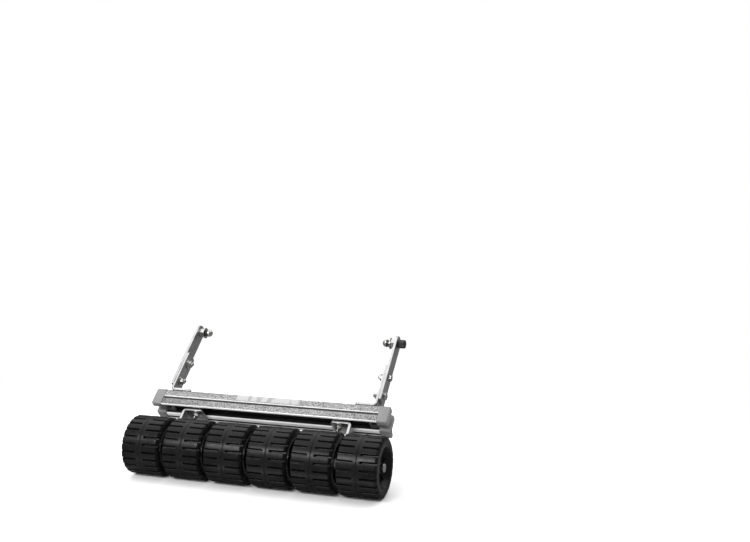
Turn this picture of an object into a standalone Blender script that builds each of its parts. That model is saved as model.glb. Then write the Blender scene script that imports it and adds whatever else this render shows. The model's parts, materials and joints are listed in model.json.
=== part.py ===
"""Lawn striping roller attachment for a walk-behind mower.

Six free-rolling slotted drums turn on one axle. Two hangers join the axle to an aluminium beam, and two
arms rise from slides in the back of the beam to the studs that hook onto the mower.

The frame of the attachment is modelled flat, with X along the roller, Y from the axle towards the mower and
Z square to both, under an empty on the axle that tilts it to its working angle. The origin of the world is
midway between the two mower studs.
"""
import math

import bmesh
import bpy
from mathutils import Matrix, Vector

# Clearances
GAP = 0.0003
RUNNING_GAP = 0.0005
HOLE_GAP = 0.0003

# Roller
DRUM_COUNT = 6
DRUM_RADIUS = 0.058
DRUM_LENGTH = 0.080
DRUM_SPACING = 0.010
TREAD_LENGTH = 0.074
SHOULDER_DROP = 0.0052
RIM_WALL = 0.0138
RECESS_DEPTH = 0.014
HUB_RADIUS = 0.014
HUB_INSET = 0.010
SLOT_COUNT = 24
SLOT_WIDTH = 0.004
SLOT_DEPTH = 0.0065
CENTRE_BAND = 0.017
DRUM_SEGMENTS = 24
SMALL_SEGMENTS = 12

# Axle and its bushes
AXLE_RADIUS = 0.006
BUSH_WALL = 0.0017
SPACER_WALL = 0.0047
AXLE_CAP_WALL = 0.0025
AXLE_CAP_LENGTH = 0.009
AXLE_CAP_DEPTH = 0.006

# Steel plate parts
PLATE = 0.0048
BEND_INNER_RADIUS = 0.003
CORNER_RADIUS = 0.004
ARC_STEPS = 4

# Beam
BEAM_LENGTH = 0.466
BEAM_CLEARANCE = 0.024
BEAM_DEPTH = 0.036
BEAM_TOP = 0.0285
BEAM_WALL = 0.0025
FLOOR_WALL = 0.004
FOOT_DEPTH = 0.008
FOOT_DROP = 0.0135
LIP = 0.003
CHANNEL_BOTTOM = -0.005
CHANNEL_TOP = 0.024
CHANNEL_DEPTH = 0.013
UPPER_UNDERCUT = 0.002
LOWER_UNDERCUT = 0.004
GROOVE_DEPTH = 0.002
FACE_GROOVE_WIDTH = 0.0066
FACE_GROOVE_FROM_BACK = 0.015
FRONT_GROOVE_WIDTH = 0.006
FRONT_GROOVE_FROM_BOTTOM = 0.007
SLIDE_BOLT_CLEARANCE = 0.0005
SLIDE_CAVITY_WIDTH = 0.017
SLIDE_CAVITY_DEPTH = 0.0065

# Beam end caps
CAP_LENGTH = 0.022
CAP_PROUD = 0.001
CAP_MOUTH_BOTTOM = -0.001
CAP_MOUTH_TOP = 0.0155
CAP_MOUTH_DEPTH = 0.010
CAP_WEB_INSET = 0.006
CAP_WEB_CLEARANCE = 0.0005
CAP_ROUNDING = 0.004
TONGUE_LENGTH = 0.020
TONGUE_CLEARANCE = 0.0012
CAP_SCREW_RADIUS = 0.006
CAP_SCREW_HEAD = 0.003
CAP_SCREW_PIN_RADIUS = 0.003
CAP_SCREW_INSET = 0.009

# Hangers
HANGER_WIDTH = 0.040
HANGER_FOOT = 0.043
HANGER_BOLT_FROM_LEG = 0.025
HANGER_BOLT_END = 0.014
HANGER_TEE_LENGTH = 0.022
HANGER_TEE_THICKNESS = 0.004

# Arms
ARM_WIDTH = 0.030
ARM_CENTRE_Z = 0.0145
ARM_INSET = 0.0103
BRACKET_FOOT = 0.044
BRACKET_LEG = 0.100
BAR_START = 0.0165
BAR_LENGTH = 0.165
LOWER_BOLT_Y = 0.033
UPPER_BOLT_Y = 0.078
STUD_FROM_BAR_END = 0.016
FOOT_BOLT_FROM_LEG = 0.018
FOOT_HEAD_THICKNESS = 0.0026

# M8 fasteners
BOLT_RADIUS = 0.004
HEX_ACROSS = 0.013
HEAD_THICKNESS = 0.0053
NUT_THICKNESS = 0.0065
WASHER_RADIUS = 0.010
WASHER_THICKNESS = 0.0016
THREAD_BEYOND_NUT = 0.0035
LOW_HEAD_RADIUS = 0.0065
LOW_HEAD_TOP_RADIUS = 0.0045
SLIDE_NUT_LENGTH = 0.020
SLIDE_NUT_THICKNESS = 0.0053

# Mower studs
STUD_RADIUS = 0.005
STUD_HEAD_RADIUS = 0.008
STUD_HEAD_LENGTH = 0.0087
STUD_NUT_ACROSS = 0.017
STUD_NUT_LENGTH = 0.010
STUD_WASHER_RADIUS = 0.0115
STUD_WASHER_THICKNESS = 0.0025
SLEEVE_RADIUS = 0.007
SLEEVE_LENGTH = 0.0064
OUTER_HEAD_RADIUS = 0.008
OUTER_HEAD_THICKNESS = 0.002
KNOB_RADIUS = 0.0088
KNOB_LENGTH = 0.0145
KNOB_RIBS = 16
KNOB_RIB_DEPTH = 0.0007
KNOB_FLOOR = 0.003

# Label plate
LABEL_LENGTH = 0.140
LABEL_THICKNESS = 0.0006
LABEL_MARGIN = 0.001

# Working angle of the frame above the ground
FRAME_TILT = math.radians(41)

# Mesh settings
MERGE_DISTANCE = 0.00001
SHARP_ANGLE = math.radians(35)
SQUARE_EDGE_ANGLE = math.radians(50)

# Places that follow from the sizes, in the frame's own axes
DRUM_PITCH = DRUM_LENGTH + DRUM_SPACING
ROLLER_HALF = ((DRUM_COUNT - 1) * DRUM_PITCH + DRUM_LENGTH) / 2
HUB_HALF = DRUM_LENGTH / 2 - HUB_INSET
BUSH_BORE = AXLE_RADIUS + HOLE_GAP
BUSH_RADIUS = BUSH_BORE + BUSH_WALL
HUB_BORE = BUSH_RADIUS + GAP
AXLE_CAP_RADIUS = AXLE_RADIUS + AXLE_CAP_WALL
SPACER_LENGTH = DRUM_PITCH - 2 * HUB_HALF - 2 * RUNNING_GAP
HANGER_X = (DRUM_COUNT / 2 - 1) * DRUM_PITCH
BEAM_FRONT = DRUM_RADIUS + BEAM_CLEARANCE
BEAM_BACK = BEAM_FRONT + BEAM_DEPTH
BEAM_HALF = BEAM_LENGTH / 2
SLOT_OPENING = 2 * (BOLT_RADIUS + SLIDE_BOLT_CLEARANCE)
BEAM_UNDERSIDE = CHANNEL_BOTTOM - LOWER_UNDERCUT - FLOOR_WALL
BEAM_FOOT = BEAM_UNDERSIDE - FOOT_DROP
FOOT_BACK = BEAM_FRONT + FOOT_DEPTH
CHANNEL_FLOOR = BEAM_FRONT + CHANNEL_DEPTH
CHANNEL_MIDDLE = (CHANNEL_BOTTOM + CHANNEL_TOP) / 2
LEG_OUTER = BEAM_HALF - ARM_INSET + PLATE / 2
LEG_INNER = LEG_OUTER - PLATE
BAR_INNER = LEG_OUTER + GAP
BAR_OUTER = BAR_INNER + PLATE
FOOT_BOTTOM = BEAM_BACK + GAP
FOOT_TOP = FOOT_BOTTOM + PLATE
STUD_Y = BEAM_BACK + BAR_START + BAR_LENGTH - STUD_FROM_BAR_END
STUD_HEAD_X = BAR_INNER - STUD_NUT_LENGTH - STUD_WASHER_THICKNESS - SLEEVE_LENGTH - 4 * GAP

# Directions in which a piece that is made along Z can point
ALONG_X = Matrix.Rotation(math.pi / 2, 4, "Y")
ALONG_MINUS_X = Matrix.Rotation(-math.pi / 2, 4, "Y")
ALONG_Y = Matrix.Rotation(-math.pi / 2, 4, "X")
ALONG_MINUS_Y = Matrix.Rotation(math.pi / 2, 4, "X")
# An outline drawn in Y and Z, extruded along X
SECTION = Matrix(((0, 0, 1, 0), (1, 0, 0, 0), (0, 1, 0, 0), (0, 0, 0, 1)))


def clear_scene():
    for obj in list(bpy.data.objects):
        bpy.data.objects.remove(obj)


def add_collection(name):
    collection = bpy.data.collections.new(name)
    bpy.context.scene.collection.children.link(collection)
    return collection


def add_material(name, colour, roughness, metallic):
    material = bpy.data.materials.new(name)
    material.use_nodes = True
    shader = material.node_tree.nodes["Principled BSDF"]
    shader.inputs["Base Color"].default_value = (*colour, 1)
    shader.inputs["Roughness"].default_value = roughness
    shader.inputs["Metallic"].default_value = metallic
    return material


clear_scene()
PARTS = add_collection("striping_roller")
CUTTERS = add_collection("cutters")
FRAME = bpy.data.objects.new("frame_tilt", None)
PARTS.objects.link(FRAME)
FRAME.rotation_euler = (FRAME_TILT, 0, 0)
FRAME.location = -(Matrix.Rotation(FRAME_TILT, 3, "X") @ Vector((0, STUD_Y, ARM_CENTRE_Z)))

DRUM_PLASTIC = add_material("drum_plastic", (0.022, 0.022, 0.023), 0.42, 0)
BUSH_PLASTIC = add_material("bush_plastic", (0.55, 0.54, 0.5), 0.45, 0)
CAP_PLASTIC = add_material("cap_plastic", (0.3, 0.3, 0.31), 0.55, 0)
KNOB_PLASTIC = add_material("knob_plastic", (0.012, 0.012, 0.012), 0.5, 0)
ALUMINIUM = add_material("aluminium", (0.5, 0.5, 0.5), 0.45, 1)
PLATE_STEEL = add_material("plate_steel", (0.36, 0.36, 0.37), 0.4, 1)
ZINC = add_material("zinc", (0.62, 0.62, 0.6), 0.3, 1)
LABEL_FILM = add_material("label_film", (0.8, 0.8, 0.8), 0.5, 0)


def add_object(name, mesh, place, material):
    """A part in the frame's axes, at the place and turn that a matrix gives."""
    obj = bpy.data.objects.new(name, mesh)
    PARTS.objects.link(obj)
    obj.parent = FRAME
    obj.matrix_local = place
    if material.name not in mesh.materials:
        mesh.materials.append(material)


def add_modifier(obj, kind, **settings):
    modifier = obj.modifiers.new(kind.lower(), kind)
    for key, value in settings.items():
        setattr(modifier, key, value)


def evaluated_mesh(obj):
    bpy.context.view_layer.update()
    return bpy.data.meshes.new_from_object(obj.evaluated_get(bpy.context.evaluated_depsgraph_get()))


def smooth_round_sides(mesh):
    mesh.shade_smooth()
    mesh.set_sharp_from_angle(angle=SHARP_ANGLE)
    return mesh


def turned_mesh(profile, segments, closed=False):
    """A profile of (radius, height) points that runs down the outer side, turned about Z."""
    mesh = bpy.data.meshes.new("profile")
    points = [(radius, 0, height) for radius, height in profile]
    edges = [(i, i + 1) for i in range(len(points) - 1)]
    if closed:
        edges.append((len(points) - 1, 0))
    mesh.from_pydata(points, edges, [])
    obj = bpy.data.objects.new("profile", mesh)
    CUTTERS.objects.link(obj)
    add_modifier(
        obj,
        "SCREW",
        axis="Z",
        steps=segments,
        render_steps=segments,
        use_merge_vertices=True,
        merge_threshold=MERGE_DISTANCE,
    )
    turned = evaluated_mesh(obj)
    bpy.data.objects.remove(obj)
    return smooth_round_sides(turned)


def tube_mesh(outer, bore, length, segments=SMALL_SEGMENTS):
    """A plain ring from height 0 to its length."""
    return turned_mesh([(bore, length), (outer, length), (outer, 0), (bore, 0)], segments, closed=True)


def outline_mesh(outlines, depth):
    """Flat outlines, the first with the others as holes, extruded to the depth about their plane."""
    curve = bpy.data.curves.new("outline", "CURVE")
    curve.dimensions = "2D"
    curve.fill_mode = "BOTH"
    curve.extrude = depth / 2
    for points in outlines:
        spline = curve.splines.new("POLY")
        spline.points.add(len(points) - 1)
        for point, (x, y) in zip(spline.points, points):
            point.co = (x, y, 0, 1)
        spline.use_cyclic_u = True
    obj = bpy.data.objects.new("outline", curve)
    CUTTERS.objects.link(obj)
    mesh = evaluated_mesh(obj)
    bpy.data.objects.remove(obj)
    shape = bmesh.new()
    shape.from_mesh(mesh)
    bmesh.ops.remove_doubles(shape, verts=shape.verts, dist=MERGE_DISTANCE)
    bmesh.ops.recalc_face_normals(shape, faces=shape.faces)
    shape.to_mesh(mesh)
    shape.free()
    return mesh


def box_mesh(low, high):
    low, high = Vector(low), Vector(high)
    mesh = bpy.data.meshes.new("box")
    shape = bmesh.new()
    place = Matrix.Translation((low + high) / 2) @ Matrix.Diagonal((*(high - low), 1))
    bmesh.ops.create_cube(shape, size=1, matrix=place)
    shape.to_mesh(mesh)
    shape.free()
    return mesh


def rod_mesh(radius, low, high, segments=SMALL_SEGMENTS):
    """A cylinder about Z, or a hexagonal bar when it has six segments."""
    mesh = bpy.data.meshes.new("rod")
    shape = bmesh.new()
    place = Matrix.Translation((0, 0, (low + high) / 2))
    size = {"radius1": radius, "radius2": radius, "depth": high - low}
    bmesh.ops.create_cone(shape, cap_ends=True, segments=segments, matrix=place, **size)
    shape.to_mesh(mesh)
    shape.free()
    return smooth_round_sides(mesh)


def combine(mesh, operation, tools):
    """The mesh after a Boolean with each tool, a pair of a mesh and its place in the mesh's own axes."""
    obj = bpy.data.objects.new("base", mesh)
    CUTTERS.objects.link(obj)
    helpers = []
    for tool, place in tools:
        helper = bpy.data.objects.new("tool", tool)
        CUTTERS.objects.link(helper)
        helper.matrix_world = place
        helper.display_type = "WIRE"
        helper.hide_render = True
        helpers.append(helper)
        add_modifier(obj, "BOOLEAN", operation=operation, solver="EXACT", object=helper)
    result = evaluated_mesh(obj)
    for helper in (obj, *helpers):
        bpy.data.objects.remove(helper)
    return smooth_round_sides(result)


def at(x, y, z, turn=Matrix.Identity(4)):
    return Matrix.Translation((x, y, z)) @ turn


def arc(centre, radius, start, end, steps=ARC_STEPS):
    """Points of an arc between two angles in degrees."""
    points = []
    for step in range(steps + 1):
        angle = math.radians(start + (end - start) * step / steps)
        points.append((centre[0] + radius * math.cos(angle), centre[1] + radius * math.sin(angle)))
    return points


def side_name(side):
    return "left" if side < 0 else "right"


# Roller


def slot_cutter_mesh():
    """Two rows of bars, one for each slot, that lie along the turned side of a drum."""
    mesh = bpy.data.meshes.new("slots")
    shape = bmesh.new()
    inner = CENTRE_BAND / 2
    outer = DRUM_LENGTH
    for row in (-1, 1):
        for slot in range(SLOT_COUNT):
            turn = Matrix.Rotation(2 * math.pi * slot / SLOT_COUNT, 4, "Z")
            place = turn @ Matrix.Translation((DRUM_RADIUS, 0, row * (inner + outer) / 2))
            size = Matrix.Diagonal((2 * SLOT_DEPTH, SLOT_WIDTH, outer - inner, 1))
            bmesh.ops.create_cube(shape, size=1, matrix=place @ size)
    shape.to_mesh(mesh)
    shape.free()
    return mesh


def drum_mesh():
    half = DRUM_LENGTH / 2
    floor = half - RECESS_DEPTH
    rim = DRUM_RADIUS - SHOULDER_DROP
    recess = rim - RIM_WALL
    upper = [
        (HUB_BORE, HUB_HALF),
        (HUB_RADIUS, HUB_HALF),
        (HUB_RADIUS, floor),
        (recess, floor),
        (recess, half),
        (rim, half),
        (DRUM_RADIUS, TREAD_LENGTH / 2),
    ]
    lower = [(radius, -height) for radius, height in reversed(upper)]
    body = turned_mesh(upper + lower, DRUM_SEGMENTS, closed=True)
    return combine(body, "DIFFERENCE", [(slot_cutter_mesh(), Matrix.Identity(4))])


def add_drums():
    drum = drum_mesh()
    bush = tube_mesh(BUSH_RADIUS, BUSH_BORE, 2 * HUB_HALF)
    for number in range(DRUM_COUNT):
        x = (number - (DRUM_COUNT - 1) / 2) * DRUM_PITCH
        add_object(f"drum_{number + 1}", drum, at(x, 0, 0, ALONG_X), DRUM_PLASTIC)
        place = at(x - HUB_HALF, 0, 0, ALONG_X)
        add_object(f"drum_bush_{number + 1}", bush, place, BUSH_PLASTIC)


def add_axle():
    cap_start = ROLLER_HALF - HUB_INSET + RUNNING_GAP
    rod_end = cap_start + AXLE_CAP_DEPTH - GAP
    add_object("axle", rod_mesh(AXLE_RADIUS, -rod_end, rod_end), at(0, 0, 0, ALONG_X), ZINC)
    rounding = arc(
        (AXLE_CAP_RADIUS - CORNER_RADIUS / 2, AXLE_CAP_LENGTH - CORNER_RADIUS / 2), CORNER_RADIUS / 2, 90, 0
    )
    profile = [(0, AXLE_CAP_LENGTH), *rounding, (AXLE_CAP_RADIUS, 0), (BUSH_BORE, 0)]
    profile += [(BUSH_BORE, AXLE_CAP_DEPTH), (0, AXLE_CAP_DEPTH)]
    cap = turned_mesh(profile, SMALL_SEGMENTS)
    add_object("axle_cap_right", cap, at(cap_start, 0, 0, ALONG_X), ZINC)
    add_object("axle_cap_left", cap, at(-cap_start, 0, 0, ALONG_MINUS_X), ZINC)


def add_axle_sleeves():
    """Spacers between the hubs, and the bushes that carry the axle in the hangers."""
    spacer = tube_mesh(BUSH_BORE + SPACER_WALL, BUSH_BORE, SPACER_LENGTH)
    bush = tube_mesh(BUSH_RADIUS, BUSH_BORE, SPACER_LENGTH)
    middle = DRUM_COUNT // 2 - 1
    for number in range(1, DRUM_COUNT - 2):
        x = (number - middle) * DRUM_PITCH
        add_object(f"axle_spacer_{number}", spacer, at(x - SPACER_LENGTH / 2, 0, 0, ALONG_X), ZINC)
    for side in (-1, 1):
        place = at(side * HANGER_X - SPACER_LENGTH / 2, 0, 0, ALONG_X)
        add_object(f"hanger_bush_{side_name(side)}", bush, place, BUSH_PLASTIC)


# Bent plate parts


def angle_outline(leg_outer, leg_end, foot_face, foot_end, foot_back):
    """The bent edge of an angle plate whose foot lies between two heights and whose leg ends at a third.

    The leg's outer side is at leg_outer, and the foot runs back from it to foot_end.
    """
    outward = 1 if leg_outer > foot_end else -1
    upward = 1 if leg_end > foot_face else -1
    radius = BEND_INNER_RADIUS + PLATE
    centre = (leg_outer - outward * radius, foot_back + upward * radius)
    outer = [
        (centre[0] + outward * radius * math.cos(angle), centre[1] - upward * radius * math.sin(angle))
        for angle in (math.pi / 2 * (1 - step / ARC_STEPS) for step in range(ARC_STEPS + 1))
    ]
    inner = [
        (
            centre[0] + outward * BEND_INNER_RADIUS * math.cos(angle),
            centre[1] - upward * BEND_INNER_RADIUS * math.sin(angle),
        )
        for angle in (math.pi / 2 * step / ARC_STEPS for step in range(ARC_STEPS + 1))
    ]
    leg_inner = leg_outer - outward * PLATE
    leg = [(leg_outer, leg_end), (leg_inner, leg_end)]
    return [(foot_end, foot_back), *outer, *leg, *inner, (foot_end, foot_face)]


def bent_plate_mesh(edge, face, middle_z, width):
    """An angle plate: its bent edge extruded across, then trimmed to the outline of its face."""
    strip = outline_mesh([edge], 2 * width)
    strip.transform(Matrix.Translation((0, 0, middle_z)))
    trim = outline_mesh([face], 2 * BEAM_LENGTH)
    return combine(strip, "INTERSECT", [(trim, SECTION)])


def add_hangers():
    foot_back = BEAM_FRONT - GAP
    foot_face = foot_back - PLATE
    half = HANGER_WIDTH / 2
    face = [(BEAM_BACK, -half), (BEAM_BACK, half), *arc((0, 0), half, 90, 270, 2 * ARC_STEPS)]
    bush_hole = rod_mesh(BUSH_RADIUS + GAP, -2 * PLATE, 2 * PLATE)
    bolt_hole = rod_mesh(BOLT_RADIUS + HOLE_GAP, -2 * PLATE, 2 * PLATE)
    for side in (-1, 1):
        leg_outer = side * (HANGER_X + PLATE / 2)
        foot_end = leg_outer - side * HANGER_FOOT
        bolt_x = side * (HANGER_X - HANGER_BOLT_FROM_LEG)
        edge = angle_outline(leg_outer, -2 * half, foot_face, foot_end, foot_back)
        plate = bent_plate_mesh(edge, face, 0, HANGER_WIDTH)
        holes = [
            (bush_hole, at(side * HANGER_X, 0, 0, ALONG_X)),
            (bolt_hole, at(bolt_x, foot_face, CHANNEL_MIDDLE, ALONG_Y)),
        ]
        add_object(
            f"hanger_{side_name(side)}", combine(plate, "DIFFERENCE", holes), at(0, 0, 0), PLATE_STEEL
        )
        add_hanger_fasteners(side_name(side), bolt_x, foot_face)


def add_hanger_fasteners(name, bolt_x, foot_face):
    """A tee bolt whose head is held in the channel of the beam, and its nut in front of the foot."""
    head_face = BEAM_FRONT + LIP + GAP
    head = box_mesh(
        (-HANGER_TEE_LENGTH / 2, CHANNEL_BOTTOM - LOWER_UNDERCUT / 2 - CHANNEL_MIDDLE, -HANGER_TEE_THICKNESS),
        (HANGER_TEE_LENGTH / 2, CHANNEL_TOP + UPPER_UNDERCUT / 2 - CHANNEL_MIDDLE, 0),
    )
    shank = rod_mesh(BOLT_RADIUS, -HANGER_TEE_THICKNESS / 2, head_face - foot_face + HANGER_BOLT_END)
    bolt = combine(head, "UNION", [(shank, Matrix.Identity(4))])
    mirrored = Matrix.Rotation(math.pi, 4, "Z")
    place = at(bolt_x, head_face, CHANNEL_MIDDLE, ALONG_MINUS_Y @ mirrored)
    add_object(f"hanger_bolt_{name}", bolt, place, ZINC)
    nut_place = at(bolt_x, foot_face - GAP, CHANNEL_MIDDLE, ALONG_MINUS_Y)
    add_object(f"hanger_nut_{name}", washer_nut_mesh(), nut_place, ZINC)


def washer_nut_mesh():
    """A hexagon nut on its washer, from height 0 up."""
    hexagon = rod_mesh(HEX_ACROSS / math.sqrt(3), WASHER_THICKNESS / 2, WASHER_THICKNESS + NUT_THICKNESS, 6)
    washer = rod_mesh(WASHER_RADIUS, 0, WASHER_THICKNESS)
    body = combine(washer, "UNION", [(hexagon, Matrix.Identity(4))])
    bore = rod_mesh(BOLT_RADIUS + HOLE_GAP, -NUT_THICKNESS, 2 * NUT_THICKNESS)
    return combine(body, "DIFFERENCE", [(bore, Matrix.Identity(4))])


# Beam


def beam_outline():
    """The outer edge of the section in Y and Z, round the front channel and the slide at the back."""
    slot_low = ARM_CENTRE_Z - SLOT_OPENING / 2
    slot_high = ARM_CENTRE_Z + SLOT_OPENING / 2
    cavity_low = ARM_CENTRE_Z - SLIDE_CAVITY_WIDTH / 2
    cavity_high = ARM_CENTRE_Z + SLIDE_CAVITY_WIDTH / 2
    slot_floor = BEAM_BACK - LIP - SLIDE_CAVITY_DEPTH
    groove_back = BEAM_BACK - FACE_GROOVE_FROM_BACK
    groove_front = groove_back - FACE_GROOVE_WIDTH
    low_groove = BEAM_FOOT + FRONT_GROOVE_FROM_BOTTOM
    high_groove = low_groove + FRONT_GROOVE_WIDTH
    slide = [
        (BEAM_BACK, slot_low),
        (BEAM_BACK - LIP, slot_low),
        (BEAM_BACK - LIP, cavity_low),
        (slot_floor, cavity_low),
        (slot_floor, cavity_high),
        (BEAM_BACK - LIP, cavity_high),
        (BEAM_BACK - LIP, slot_high),
        (BEAM_BACK, slot_high),
    ]
    face_groove = [
        (groove_back, BEAM_TOP),
        (groove_back - GROOVE_DEPTH, BEAM_TOP - GROOVE_DEPTH),
        (groove_front + GROOVE_DEPTH / 2, BEAM_TOP - GROOVE_DEPTH),
        (groove_front, BEAM_TOP),
    ]
    channel = [
        (BEAM_FRONT, CHANNEL_TOP),
        (BEAM_FRONT + LIP, CHANNEL_TOP),
        (BEAM_FRONT + LIP, CHANNEL_TOP + UPPER_UNDERCUT),
        (CHANNEL_FLOOR, CHANNEL_TOP + UPPER_UNDERCUT),
        (CHANNEL_FLOOR, CHANNEL_BOTTOM - LOWER_UNDERCUT),
        (BEAM_FRONT + LIP, CHANNEL_BOTTOM - LOWER_UNDERCUT),
        (BEAM_FRONT + LIP, CHANNEL_BOTTOM),
        (BEAM_FRONT, CHANNEL_BOTTOM),
    ]
    front_groove = [
        (BEAM_FRONT, high_groove),
        (BEAM_FRONT + GROOVE_DEPTH, high_groove - GROOVE_DEPTH / 2),
        (BEAM_FRONT + GROOVE_DEPTH, low_groove + GROOVE_DEPTH / 2),
        (BEAM_FRONT, low_groove),
    ]
    bottom = [(BEAM_FRONT, BEAM_FOOT), (FOOT_BACK, BEAM_FOOT)]
    bottom += [(FOOT_BACK, BEAM_UNDERSIDE), (BEAM_BACK, BEAM_UNDERSIDE)]
    top = [(BEAM_BACK, BEAM_TOP)]
    return [*bottom, *slide, *top, *face_groove, (BEAM_FRONT, BEAM_TOP), *channel, *front_groove]


def beam_cells():
    """The hollow cells that run through the beam behind the channel and below the slide."""
    low = BEAM_UNDERSIDE + BEAM_WALL
    high = BEAM_TOP - GROOVE_DEPTH - BEAM_WALL
    slot_floor = BEAM_BACK - LIP - SLIDE_CAVITY_DEPTH
    under_slide = ARM_CENTRE_Z - SLIDE_CAVITY_WIDTH / 2 - BEAM_WALL
    cells = [
        (CHANNEL_FLOOR + BEAM_WALL, slot_floor - BEAM_WALL, low, high),
        (slot_floor, BEAM_BACK - BEAM_WALL, low, under_slide),
    ]
    return [[(a, c), (a, d), (b, d), (b, c)] for a, b, c, d in cells]


def add_beam():
    beam = outline_mesh([beam_outline(), *beam_cells()], BEAM_LENGTH)
    add_object("beam", beam, SECTION, ALUMINIUM)


def cap_outline():
    """The outer edge of a cap in Y and Z: the beam's own, with a mouth that carries on the channel."""
    front = BEAM_FRONT - CAP_PROUD
    back = BEAM_BACK + CAP_PROUD
    foot = BEAM_FOOT - CAP_PROUD
    foot_back = FOOT_BACK + CAP_PROUD
    under = BEAM_UNDERSIDE - CAP_PROUD
    top = BEAM_TOP + CAP_PROUD
    mouth = front + CAP_MOUTH_DEPTH
    outline = [(front, foot), (foot_back, foot), (foot_back, under), (back, under), (back, top), (front, top)]
    outline += [(front, CAP_MOUTH_TOP), (mouth, CAP_MOUTH_TOP)]
    outline += [(mouth, CAP_MOUTH_BOTTOM), (front, CAP_MOUTH_BOTTOM)]
    return outline


def end_cap_mesh():
    """A cap made along Z from its inner face, with rounded lobes above and below a web that is set in."""
    outer = GAP + CAP_LENGTH
    body = outline_mesh([cap_outline()], CAP_LENGTH + 2 * CAP_ROUNDING)
    body.transform(Matrix.Translation((0, 0, GAP + CAP_LENGTH / 2 - CAP_ROUNDING)))
    obj = bpy.data.objects.new("cap_body", body)
    CUTTERS.objects.link(obj)
    add_modifier(
        obj, "BEVEL", width=CAP_ROUNDING, segments=2, limit_method="ANGLE", angle_limit=SQUARE_EDGE_ANGLE
    )
    rounded = evaluated_mesh(obj)
    bpy.data.objects.remove(obj)
    mouth = BEAM_FRONT - CAP_PROUD + CAP_MOUTH_DEPTH
    inner_end = box_mesh((0, -BEAM_BACK, -CAP_LENGTH), (2 * BEAM_BACK, BEAM_BACK, GAP))
    beside_web = box_mesh(
        (0, CAP_MOUTH_BOTTOM - CAP_WEB_CLEARANCE, outer - CAP_WEB_INSET),
        (2 * BEAM_BACK, CAP_MOUTH_TOP + CAP_WEB_CLEARANCE, 2 * outer),
    )
    trimmed = combine(
        rounded, "DIFFERENCE", [(inner_end, Matrix.Identity(4)), (beside_web, Matrix.Identity(4))]
    )
    tongue = box_mesh(
        (mouth - TONGUE_CLEARANCE, CHANNEL_BOTTOM - LOWER_UNDERCUT + TONGUE_CLEARANCE, -TONGUE_LENGTH),
        (CHANNEL_FLOOR - GAP, CHANNEL_TOP + UPPER_UNDERCUT - TONGUE_CLEARANCE, GAP + CAP_LENGTH / 2),
    )
    hole = rod_mesh(CAP_SCREW_PIN_RADIUS + HOLE_GAP, -CAP_LENGTH, CAP_LENGTH)
    hole_place = at(mouth, CHANNEL_MIDDLE, -CAP_SCREW_INSET, ALONG_X)
    drilled = combine(tongue, "DIFFERENCE", [(hole, hole_place)])
    return combine(trimmed, "UNION", [(drilled, Matrix.Identity(4))])


def add_end_caps():
    """Caps on both ends of the beam, each held by a screw through its tongue."""
    tongue_face = BEAM_FRONT - CAP_PROUD + CAP_MOUTH_DEPTH - TONGUE_CLEARANCE
    pin_end = CHANNEL_FLOOR - GAP - tongue_face
    head = rod_mesh(CAP_SCREW_RADIUS, -CAP_SCREW_HEAD - GAP, -GAP)
    pin = rod_mesh(CAP_SCREW_PIN_RADIUS, -CAP_SCREW_HEAD / 2, pin_end)
    screw = combine(head, "UNION", [(pin, Matrix.Identity(4))])
    cap = end_cap_mesh()
    for side in (-1, 1):
        shape = cap.copy()
        shape.transform(Matrix.Diagonal((side, 1, 1, 1)) @ SECTION)
        if side < 0:
            shape.flip_normals()
        add_object(f"end_cap_{side_name(side)}", shape, at(side * BEAM_HALF, 0, 0), CAP_PLASTIC)
        screw_place = at(side * (BEAM_HALF - CAP_SCREW_INSET), tongue_face, CHANNEL_MIDDLE, ALONG_Y)
        add_object(f"end_cap_screw_{side_name(side)}", screw, screw_place, KNOB_PLASTIC)


def add_label():
    face_back = BEAM_BACK - LABEL_MARGIN
    face_front = BEAM_BACK - FACE_GROOVE_FROM_BACK + LABEL_MARGIN
    low = (-LABEL_LENGTH / 2, face_front, BEAM_TOP + GAP)
    high = (LABEL_LENGTH / 2, face_back, BEAM_TOP + GAP + LABEL_THICKNESS)
    add_object("label_plate", box_mesh(low, high), at(0, 0, 0), LABEL_FILM)


# Arms


def add_brackets():
    half = ARM_WIDTH / 2
    low, high = ARM_CENTRE_Z - half, ARM_CENTRE_Z + half
    end = BEAM_BACK + BRACKET_LEG
    start = BEAM_BACK - PLATE
    round_high = arc((end - CORNER_RADIUS, high - CORNER_RADIUS), CORNER_RADIUS, 90, 0)
    round_low = arc((end - CORNER_RADIUS, low + CORNER_RADIUS), CORNER_RADIUS, 0, -90)
    face = [(start, low), (start, high), *round_high, *round_low]
    hole = rod_mesh(BOLT_RADIUS + HOLE_GAP, -2 * PLATE, 2 * PLATE)
    for side in (-1, 1):
        edge = angle_outline(
            side * LEG_OUTER, 2 * end, FOOT_TOP, side * (LEG_OUTER - BRACKET_FOOT), FOOT_BOTTOM
        )
        plate = bent_plate_mesh(edge, face, ARM_CENTRE_Z, ARM_WIDTH)
        middle = side * (LEG_OUTER - PLATE / 2)
        holes = [
            (hole, at(middle, BEAM_BACK + LOWER_BOLT_Y, ARM_CENTRE_Z, ALONG_X)),
            (hole, at(middle, BEAM_BACK + UPPER_BOLT_Y, ARM_CENTRE_Z, ALONG_X)),
            (hole, at(side * (LEG_OUTER - FOOT_BOLT_FROM_LEG), FOOT_TOP, ARM_CENTRE_Z, ALONG_Y)),
        ]
        cut = combine(plate, "DIFFERENCE", holes)
        add_object(f"upper_bracket_{side_name(side)}", cut, at(0, 0, 0), PLATE_STEEL)


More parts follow.
